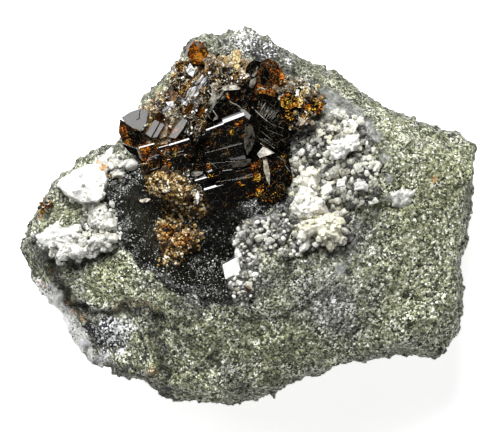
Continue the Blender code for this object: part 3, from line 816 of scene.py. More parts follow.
whiteCalcite = calciteMaterial("whiteCalcite", (0.96, 0.90, 0.74), 0.30)
greyCalcite = calciteMaterial("greyCalcite", (0.97, 0.93, 0.70), 0.40)


def crustBase(name, label, shrink, tone, voxel=0.32):
    base = nodeCopy(name, label)
    remeshed(base, voxel * mm)
    softened(base, 2)
    setCoordinates(base, coordinates(base) - np.array((0, 0, shrink * mm)))
    smoothShaded(base)
    setAttributes(base, tone=tone, stain=0, cream=0)
    return base


def grainsOn(name, outline, ground, spec):
    rng = random.Random(spec["seed"] + 100)
    bm = newGrainMesh("tone", "stain", "cream")
    for hit, normal, apart in strewn(outline, spec["gap"], spec["seed"], ground, spec.get("tries", 9000)):
        if normal.z < 0.12 or noise.noise(hit / (1.3 * mm)) < spec.get("bare", -1):
            continue
        radius = apart * spec.get("fill", 0.62)
        size = [radius * 2 * rng.uniform(0.72, 1.3) for _ in range(3)]
        place = hit + normal * radius * spec.get("proud", 0.25)
        verts = roundedRhomb(bm, place, size, turnedAtRandom(rng), 0.2, spec.get("corner", 0.26), 0.35)
        mid = spec["tone"][0] + noise.noise(hit / (0.9 * mm) + Vector((7, 3, 1))) * spec.get("drift", 0.0)
        tone = unitPart(rng.gauss(mid, spec["tone"][1]))
        paint(bm, verts, tone=tone, stain=0.0, cream=max(0.0, rng.gauss(spec.get("cream", 0.3), 0.3)))
    return objectOf(name, bm, spec.get("smooth", False))


rightCalcite = {
    "arm": ((292, 148), (306, 138), (318, 126), (334, 108), (347, 114), (360, 118), (362, 140), (374, 148),
            (381, 165), (380, 182), (377, 200), (362, 206), (350, 208), (348, 216), (344, 226), (346, 242),
            (330, 247), (318, 244), (302, 250), (288, 212), (286, 180), (290, 165)),
    "foot": ((289, 213), (303, 236), (318, 244), (306, 254), (290, 256), (266, 254), (258, 262), (256, 282),
             (248, 304), (236, 304), (230, 284), (238, 262), (234, 240), (238, 222), (250, 219), (262, 223),
             (276, 216)),
    "veil": ((292, 150), (291, 138), (299, 127), (312, 119), (325, 116), (327, 130), (320, 140), (308, 148)),
    # outline in plan squares, how it is built, tone, cream
    "blobs": {
        "upperBlob": (((331, 140), (345, 138), (351, 134), (360, 136), (359, 148), (355, 151), (349, 152),
                       (344, 158), (336, 161), (330, 160), (328, 150)),
                      {"thick": 3.1, "steps": 0.3, "tilt": 0.2, "block": (1.5, 1.3), "turn": 12, "seed": 4,
                       "ragged": 0.3, "rim": 0.5}, 1.2, 0.15),
        "brightBlob": (((290, 202), (298, 191), (305, 184), (314, 186), (318, 196), (326, 203), (329, 212),
                        (322, 217), (310, 218), (299, 216), (291, 209)),
                       {"thick": 3.2, "steps": 0.3, "tilt": 0.5, "block": (2.0, 1.6), "turn": 40, "seed": 6,
                        "ragged": 0.4, "rim": 1.0, "soften": 3}, 1.15, 0.45),
        "creamBlob": (((300, 222), (308, 216), (322, 214), (336, 214), (344, 222), (341, 231), (345, 241),
                       (337, 242), (330, 238), (324, 245), (317, 236), (307, 238), (301, 231)),
                      {"thick": 2.6, "steps": 0.3, "tilt": 0.4, "block": (1.6, 1.4), "turn": 25, "seed": 8,
                       "ragged": 0.5, "rim": 0.8}, 0.98, 1.0),
        "creamTop": (((301, 172), (309, 166), (318, 170), (322, 180), (318, 188), (306, 190), (298, 184)),
                     {"thick": 2.9, "steps": 0.25, "tilt": 0.4, "block": (1.3, 1.2), "turn": 10, "seed": 10,
                      "ragged": 0.4, "rim": 0.8}, 1.0, 0.7),
    },
    # how the grains of each outline lie, with the height in mm that they are set out at
    "grains": {
        "arm": (29, {"gap": (0.55, 1.4), "seed": 21, "tone": (0.54, 0.22), "proud": 0.3, "drift": 0.8,
                     "bare": -0.32, "tries": 14000, "cream": 0.45}),
        "foot": (28, {"gap": (0.45, 1.2), "seed": 22, "tone": (0.50, 0.22), "proud": 0.3, "drift": 0.8,
                      "bare": -0.3, "tries": 14000}),
        "veil": (28, {"gap": (0.3, 0.55), "seed": 23, "tone": (0.36, 0.16), "proud": 0.2, "cream": 0.0,
                      "drift": 0.5}),
    },
    # plan square, height and size in mm, turn in degrees, tone
    "rhombs": (
        (232, 269, 27.4, (3.1, 2.6, 2.4), 28, 0.98), (327, 189, 31.4, (1.9, 1.5, 1.5), 35, 0.92),
        (341, 183, 30.8, (1.5, 1.3, 1.4), 10, 0.8), (360, 186, 30.2, (1.9, 1.3, 1.3), 8, 0.72),
        (354, 128, 29.6, (0.8, 1.7, 1.1), -12, 0.8), (336, 113, 28.8, (1.7, 0.9, 1.0), -25, 0.72),
    ),
    # plan square, reach, strength
    "stains": ((312, 212, 7, 0.42), (320, 208, 8, 0.4), (306, 178, 6, 0.25), (248, 289, 5, 0.8)),
    "darkSpots": ((320, 149, 5, 0.12), (356, 176, 4, 0.2), (340, 203, 4, 0.2), (320, 184, 3, 0.15)),
}
# the base under the grains is painted near black: painted shade in the gaps between them
pieces = [crustBase("right_calcite", "crustBase", 0.75, 0.02)]
for label, (outline, spec, tone, cream) in rightCalcite["blobs"].items():
    blob = sheetOver(label, planLine(outline, 29), coarseRock, spec)
    setAttributes(blob, tone=tone, cream=cream, stain=0)
    pieces.append(blob)
blobGround = treeOf(*pieces[1:])
for k, (label, (outline, spec, tone, cream)) in enumerate(rightCalcite["blobs"].items()):
    pieces.append(grainsOn(label + "Crumbs", planLine(outline, 29), blobGround, {
        "gap": (0.5, 1.2), "seed": 24 + k, "tone": (tone - 0.08, 0.10), "proud": 0.1, "cream": cream,
        "fill": 0.55, "corner": 0.2, "drift": 0.4, "bare": -0.1}))
crustGround = treeOf(pieces[0], rock)
for label, (height, spec) in rightCalcite["grains"].items():
    pieces.append(grainsOn(label + "Grains", planLine(rightCalcite[label], height), crustGround, spec))
bm = newGrainMesh("tone", "stain", "cream")
for u, v, height, size, turn, tone in rightCalcite["rhombs"]:
    turned = Matrix.Rotation(math.radians(turn), 4, "Z") @ Matrix.Rotation(math.radians(-8), 4, "X")
    verts = roundedRhomb(bm, plan(u, v, height), [s * mm for s in size], turned, 0.24, 0.04)
    paint(bm, verts, tone=tone, stain=0.0, cream=0.1)
pieces.append(objectOf("rhombs", bm))
for piece in pieces:
    zonePaint(piece, "stain", rightCalcite["stains"])
    zonePaint(piece, "tone", rightCalcite["darkSpots"], soft=0.3)
rightCrust = joinedAs("right_calcite_crust", pieces)
rightCrust.data.materials.append(greyCalcite)
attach(rightCrust, "root")
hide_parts("right_calcite")
print("right calcite", len(rightCrust.data.polygons))

leftCalcite = {
    # outline in plan squares, how it is built, tone, cream
    "sheets": {
        "block": (((55, 185), (60, 178), (70, 172), (79, 167), (93, 163), (101, 165), (107, 170),
                   (108.5, 180), (104, 197), (98.5, 203), (90, 204), (81, 204.5), (75, 201), (69, 199),
                   (61, 191)), {"thick": 2.9, "steps": 0.28, "tilt": 0.40, "block": (2.6, 1.7), "turn": -12,
                                "seed": 31, "ragged": 0.2, "rim": 0.4, "voxel": 0.15}, 1.1, 0.0),
        "shoulder": (((92, 165), (97, 159), (103, 154), (112, 155), (115, 163), (110, 171), (100, 170)),
                     {"thick": 2.0, "steps": 0.2, "tilt": 0.4, "block": (1.2, 1.1), "turn": 5, "seed": 38,
                      "ragged": 0.4, "rim": 0.7, "soften": 3}, 0.72, 0.5),
        "lowerBlock": (((31, 235), (45, 229), (60, 226), (78, 228), (86, 236), (89, 243), (90, 251),
                        (84, 258), (70, 260), (58, 262), (50, 254), (45, 245), (36, 241)),
                       {"thick": 2.5, "steps": 0.38, "tilt": 0.7, "block": (1.5, 1.0), "turn": 15, "seed": 33,
                        "ragged": 0.8, "rim": 0.8}, 0.90, 0.0),
        "arm": (((88, 204), (98, 202), (106, 206), (112, 213), (117, 220), (118, 231), (104, 231), (96, 229),
                 (88, 226), (87, 214)), {"thick": 2.0, "steps": 0.25, "tilt": 0.4, "block": (1.2, 1.1),
                                         "turn": 20, "seed": 35, "ragged": 0.5, "rim": 0.9, "soften": 4},
                0.72, 0.45),
        "lump": (((90, 236), (97, 232), (108, 231), (118, 233), (119, 240), (112, 246), (100, 248), (92, 251),
                  (90, 243)), {"thick": 2.2, "steps": 0.3, "tilt": 0.4, "block": (1.3, 1.1), "turn": 5,
                               "seed": 37, "ragged": 0.4, "rim": 0.9, "soften": 3}, 0.80, 0.5),
        "cream": (((111, 168), (120, 167), (126, 172), (124, 178), (112, 179), (110, 174)),
                  {"thick": 1.7, "steps": 0.2, "tilt": 0.3, "block": (1.2, 1.1), "turn": 5, "seed": 39,
                   "ragged": 0.3, "rim": 0.7, "soften": 4}, 0.68, 0.6),
    },
    # plan square, half width and half height in squares
    "beads": ((131, 164.5, 7.9, 6.0), (116.5, 164, 5.6, 5.6), (106, 163, 4.6, 4.6), (112, 157, 4.0, 3.4),
              (119, 157, 3.2, 3.0), (109, 245, 3.6, 3.2), (98, 224, 4.5, 4.0), (108, 216, 4.6, 4.4),
              (97, 240, 5.5, 4.6), (113, 226, 3.6, 3.0)),
    # outlines with their tone
    "crumbs": (
        (((92, 165), (98, 156), (110, 152), (113, 168), (104, 172)), 0.7),
        (((107, 154), (124, 158), (125, 168), (119, 178), (110, 178)), 0.52),
        (((84, 204), (112, 202), (122, 222), (120, 244), (96, 256), (80, 236)), 0.66),
        (((30, 234), (60, 222), (88, 232), (92, 256), (60, 264), (40, 246)), 0.78),
    ),
    # plan square, reach, strength
    "stains": ((103, 168, 5, 0.9), (98, 162, 4, 0.7), (109, 176, 4, 0.8), (95, 171, 5, 0.5),
               (101, 213, 4, 0.3), (73, 193, 4, 0.15)),
    "darkSpots": ((83, 186, 3, 0.2), (54, 247, 6, 0.35), (72, 256, 8, 0.4), (60, 240, 6, 0.7),
                  (76, 240, 4, 0.4), (92, 207, 7, 0.35), (84, 219, 6, 0.2)),
}
pieces = []
for label, (outline, spec, tone, cream) in leftCalcite["sheets"].items():
    sheet = sheetOver(label, planLine(outline, 25), coarseRock, spec)
    # painted shade: each sheet's sloping sides are painted darker than its top, down to 0.7 of its tone
    tones = tone * (0.7 + 0.3 * smoothStep(normalsOf(sheet)[:, 2], 0.2, 0.8))
    setAttributes(sheet, tone=tones, cream=cream, stain=0)
    pieces.append(sheet)
bm = newGrainMesh("tone", "stain", "cream")
for u, v, wide, tall in leftCalcite["beads"]:
    hit, _ = dropOn(coarseRock, plan(u, v, 25))
    wide, tall = wide / squaresPerMm * mm, tall / squaresPerMm * mm
    made = bmesh.ops.create_icosphere(bm, subdivisions=3, radius=1)["verts"]
    place = Vector((hit.x, hit.y, hit.z + 1.3 * mm))
    bmesh.ops.transform(bm, matrix=Matrix.Translation(place) @ Matrix.Diagonal((wide, tall, tall, 1)),
                        verts=made)
    for vert in made:
        vert.co += (vert.co - place) * noise.noise(vert.co / (0.8 * mm)) * 0.2
    paint(bm, made, tone=0.62, stain=0.0, cream=0.1)
pieces.append(objectOf("beads", bm, True))
crumbGround = treeOf(rock, *pieces)
for k, (outline, tone) in enumerate(leftCalcite["crumbs"]):
    pieces.append(grainsOn("leftCrumbs", planLine(outline, 25), crumbGround, {
        "gap": (0.4, 1.3), "seed": 70 + k, "tone": (tone, 0.2), "proud": 0.1, "cream": 0.1, "fill": 0.5,
        "corner": 0.2, "drift": 0.6, "bare": -0.1}))
pieces.append(grainsOn("blockCrumbs", planLine(leftCalcite["sheets"]["block"][0], 25), crumbGround, {
    "gap": (0.5, 1.4), "seed": 78, "tone": (0.9, 0.12), "proud": -0.2, "cream": 0.1, "fill": 0.5,
    "corner": 0.12, "bare": 0.12,
}))
for piece in pieces:
    zonePaint(piece, "stain", leftCalcite["stains"])
    zonePaint(piece, "tone", leftCalcite["darkSpots"])
leftCrust = joinedAs("left_calcite_crust", pieces)
leftCrust.data.materials.append(whiteCalcite)
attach(leftCrust, "root")
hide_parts("left_calcite")
print("left calcite", len(leftCrust.data.polygons))

# Brown crusts: sugary grains over a dark base

brownCrust = {
    # outline in plan squares, node, seed, outline of the loose grains round it
    "upper": (((145, 176), (158, 171), (172, 173), (184, 178), (190, 184), (199, 190), (212, 202), (208, 212),
               (196, 210), (184, 206), (170, 200), (158, 196), (146, 190)), "brown_crust", 41,
              ((164, 198), (190, 204), (214, 200), (206, 216), (190, 220), (168, 222), (160, 212))),
    "lower": (((158, 222), (170, 218), (182, 224), (193, 232), (200, 240), (192, 248), (178, 250), (176, 262),
               (162, 264), (166, 250), (158, 240), (154, 230)), "lower_brown_crust", 43,
              ((152, 222), (168, 214), (196, 222), (206, 240), (196, 256), (178, 266), (158, 266),
               (160, 246))),
}
brownSpots = {
    # plan square, reach, and how red it is there, or how much lighter
    "red": ((168, 231, 11, 1.0), (184, 240, 10, 0.9), (190, 201, 7, 0.8), (149, 188, 5, 0.8),
            (176, 208, 5, 0.4)),
    "shifts": ((184, 226, 7, -0.40), (165, 243, 7, -0.40), (176, 240, 20, -0.06), (168, 232, 11, -0.10),
               (188, 242, 11, -0.20), (190, 202, 6, -0.15), (183, 201, 7, 0.15), (203, 205, 8, 0.22),
               (197, 197, 3.5, 0.6), (166, 252, 8, 0.08)),
}


def sugarMaterial():
    material, tree, shader, coords = newMaterial("sugarCrust", roughness=0.4, ior=1.6)
    shader.inputs["Specular IOR Level"].default_value = 0.25
    cells = cellNode(tree, coords, 3600)
    parts = separated(tree, cells.outputs["Color"])
    pick = varied(tree, attributeNode(tree, "tone"), parts.outputs[0], 0.42, 0.6)
    tan = ramp(tree, pick, [
        (0.0, (0.008, 0.006, 0.003)), (0.25, (0.055, 0.032, 0.008)), (0.5, (0.31, 0.17, 0.042)),
        (0.72, (0.64, 0.44, 0.16)), (0.9, (0.84, 0.71, 0.40)), (1.0, (0.95, 0.93, 0.84)),
    ])
    red = ramp(tree, pick, [
        (0.0, (0.006, 0.003, 0.001)), (0.3, (0.040, 0.010, 0.002)), (0.55, (0.24, 0.065, 0.008)),
        (0.8, (0.56, 0.25, 0.030)), (1.0, (0.88, 0.70, 0.30)),
    ])
    reddish = mapRange(tree, noiseNode(tree, coords, 900, 3, 0.6), 0.56, 0.68)
    reddish = maths(tree, "MAXIMUM", reddish, attributeNode(tree, "stain"))
    tree.links.new(mixed(tree, reddish, tan, red), shader.inputs["Base Color"])
    tree.links.new(bumped(tree, noiseNode(tree, coords, 5000, 2), 0.3, 0.0001), shader.inputs["Normal"])
    return material


def shiftTone(piece, u, v, reach, change):
    places, middle = coordinates(piece), plan(u, v, spotHeight)
    tones = np.empty(len(places), np.float32)
    piece.data.attributes["tone"].data.foreach_get("value", tones)
    away = np.hypot(places[:, 0] - middle.x, places[:, 1] - middle.y)
    setAttribute(piece, "tone", tones + change * (1 - smoothStep(away, 0.1 * mm, reach / squaresPerMm * mm)))


sugar = sugarMaterial()
for label, (outline, node, seed, looseOutline) in brownCrust.items():
    base = crustBase(node, label + "Base", 0.45, 0.05, 0.3)
    ground = treeOf(base, rock)
    grains = grainsOn(label + "Grains", planLine(outline, 27), ground, {
        "gap": (0.2, 0.5), "seed": seed, "tone": (0.46, 0.26), "proud": 0.5, "corner": 0.14, "bare": -0.55,
        "drift": 0.7, "tries": 32000, "fill": 0.6,
    })
    loose = grainsOn(label + "Loose", planLine(looseOutline, 27), ground, {
        "gap": (0.35, 0.9), "seed": seed + 1, "tone": (0.48, 0.24), "proud": 0.2, "corner": 0.14,
        "bare": -0.1, "drift": 0.7, "fill": 0.4,
    })
    for piece in (base, grains, loose):
        zonePaint(piece, "stain", brownSpots["red"])
        for u, v, reach, change in brownSpots["shifts"]:
            shiftTone(piece, u, v, reach, change)
    crust = joinedAs(label + "_sugar_crust", [base, grains, loose])
    crust.data.materials.append(sugar)
    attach(crust, "root")
    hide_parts(node)
    print("brown crust", len(crust.data.polygons))


# Vesuvianite: main prisms laid out by their bright upper edges, and blocks and plates by their top faces


def prismPart(bm, axes, start, length, low, high, thick, corner, tips=(0, 0)):
    # a square bar with bevelled long edges: low to high down its front face, drawn in at its ends
    origin, along, down, out = axes
    c = min(corner, (high - low) * 0.3, thick * 0.3)
    section = [(low, -c), (low + c, 0), (high - c, 0), (high, -c), (high, -thick + c), (high - c, -thick),
               (low + c, -thick), (low, -thick + c)]
    middle = ((low + high) / 2, -thick / 2)
    rings = []
    for s, pinch in ((0, tips[0]), (tips[0] * 0.8, 0), (length - tips[1] * 0.8, 0), (length, tips[1])):
        if rings and s <= rings[-1][0]:
            continue
        share = max(1 - 2 * pinch / min(high - low, thick), 0.1)
        rings.append((s, [(middle[0] + (p - middle[0]) * share, middle[1] + (q - middle[1]) * share)
                          for p, q in section]))
    verts = []
    for s, ring in rings:
        place = origin + along * (start + s)
        verts.append([bm.verts.new(place + down * p + out * q) for p, q in ring])
    count = len(section)
    for one, two in zip(verts, verts[1:]):
        for k in range(count):
            bm.faces.new((one[k], one[(k + 1) % count], two[(k + 1) % count], two[k]))
    bm.faces.new(verts[0][::-1])
    bm.faces.new(verts[-1])
    return [v for ring in verts for v in ring]


def edgePrism(bm, spec, rng):
    u0, v0, u1, v1, height, face, band, depth, roll, rise = spec[:10]
    more = spec[10] if len(spec) > 10 else {}
    a, b = plan(u0, v0, height), plan(u1, v1, height + rise)
    along = (b - a).normalized()
    side = Vector((-along.y, along.x, 0)).normalized()
    up = along.cross(side).normalized()
    turn = math.radians(roll)
    out = up * math.cos(turn) - side * math.sin(turn)
    down = -side * math.cos(turn) - up * math.sin(turn)
    corner = band * mm / math.sqrt(2)
    origin = a - down * corner / 2 + out * corner / 2
    axes = (origin, along, down, out)
    length = (b - a).length
    tips = [t * mm for t in more.get("tips", (0.5, 0.5))]
    face, depth = face * mm, depth * mm
    verts = prismPart(bm, axes, -tips[0] * 0.8, length + (tips[0] + tips[1]) * 0.8, 0, face, depth, corner,
                      tips)
    for _ in range(more.get("plates", 4)):
        # growth steps on the front face, each with a very thin lit upper edge
        low = face * rng.uniform(0.15, 0.85)
        reach = length * rng.uniform(0.2, 0.6)
        begin = rng.uniform(0, length - reach)
        lift = rng.uniform(0.02, 0.07) * mm
        stepped = (origin + out * lift, along, down, out)
        verts += prismPart(bm, stepped, begin, reach, low, face * 0.99, 1.2 * mm,
                           rng.uniform(0.01, 0.045) * mm)
    for begin, end, low, lift, thin in more.get("ledges", ()):
        stepped = (origin + out * lift * mm, along, down, out)
        verts += prismPart(bm, stepped, begin * length, (end - begin) * length, low * mm, face * 0.99,
                           1.6 * mm, thin * mm)
    paint(bm, verts, tone=more.get("tone", 0.0), amber=more.get("amber", 0.2), dust=0.0)
    return verts


def blockUnder(bm, outline, height, facing, thick, spread=1.05, **values):
    # a convex block whose top face has this outline, height and facing
    normal = Vector(facing).normalized()
    middle = sum((plan(u, v, height) for u, v in outline), Vector()) / len(outline)
    tops = []
    for u, v in outline:
        place = plan(u, v, height)
        place.z = middle.z - (normal.x * (place.x - middle.x) + normal.y * (place.y - middle.y)) / normal.z
        tops.append(place)
    lower = [middle + (p - middle) * spread - Vector((0, 0, thick * mm)) for p in tops]
    verts = [bm.verts.new(p) for p in (*tops, *lower)]
    bmesh.ops.convex_hull(bm, input=verts)
    loose = [v for v in verts if not v.link_faces]
    verts = [v for v in verts if v.link_faces]
    bmesh.ops.delete(bm, geom=loose, context="VERTS")
    faces = dict.fromkeys(f for v in verts for f in v.link_faces)
    edges = list(dict.fromkeys(e for f in faces for e in f.edges))
    bmesh.ops.dissolve_limit(bm, angle_limit=0.02, verts=verts, edges=edges)
    verts = [v for v in verts if v.is_valid]
    paint(bm, verts, tone=values.get("tone", 0.0), amber=values.get("amber", 0.2),
          dust=values.get("dust", 0.0))
    return verts


def smallPrism(bm, place, axis, length, width, spin, tip=0.4):
    # a square prism with a four-sided tip, standing along its axis
    turn = axis.to_track_quat("Z", "Y").to_matrix().to_4x4() @ Matrix.Rotation(spin, 4, "Z")
    w, c = width / 2, width * 0.12
    section = [(-w, -w + c), (-w + c, -w), (w - c, -w), (w, -w + c), (w, w - c), (w - c, w), (-w + c, w),
               (-w, w - c)]
    low = [(x, y, -length / 2) for x, y in section]
    shoulder = [(x, y, length / 2 - width * tip * 0.6) for x, y in section]
    top = [(x * (1 - tip), y * (1 - tip), length / 2) for x, y in section]
    verts = [[bm.verts.new(place + (turn @ Vector(p))) for p in ring] for ring in (low, shoulder, top)]
    for one, two in zip(verts, verts[1:]):
        for k in range(8):
            bm.faces.new((one[k], one[(k + 1) % 8], two[(k + 1) % 8], two[k]))
    bm.faces.new(verts[0][::-1])
    bm.faces.new(verts[-1])
    return [v for ring in verts for v in ring]


def refined(obj, longest):
    # splits long edges, so that painted spots have points to sit on
    bm = bmesh.new()
    bm.from_mesh(obj.data)
    bmesh.ops.recalc_face_normals(bm, faces=bm.faces)
    bmesh.ops.triangulate(bm, faces=bm.faces)
    for _ in range(5):
        edges = [e for e in bm.edges if e.calc_length() > longest * mm]
        if not edges:
            break
        bmesh.ops.subdivide_edges(bm, edges=edges, cuts=1)
        bmesh.ops.triangulate(bm, faces=[f for f in bm.faces if len(f.verts) > 3])
    bm.to_mesh(obj.data)
    bm.free()
    obj.data.validate()  # takes out the doubled slivers that splitting can leave
    return smoothShaded(obj, False)


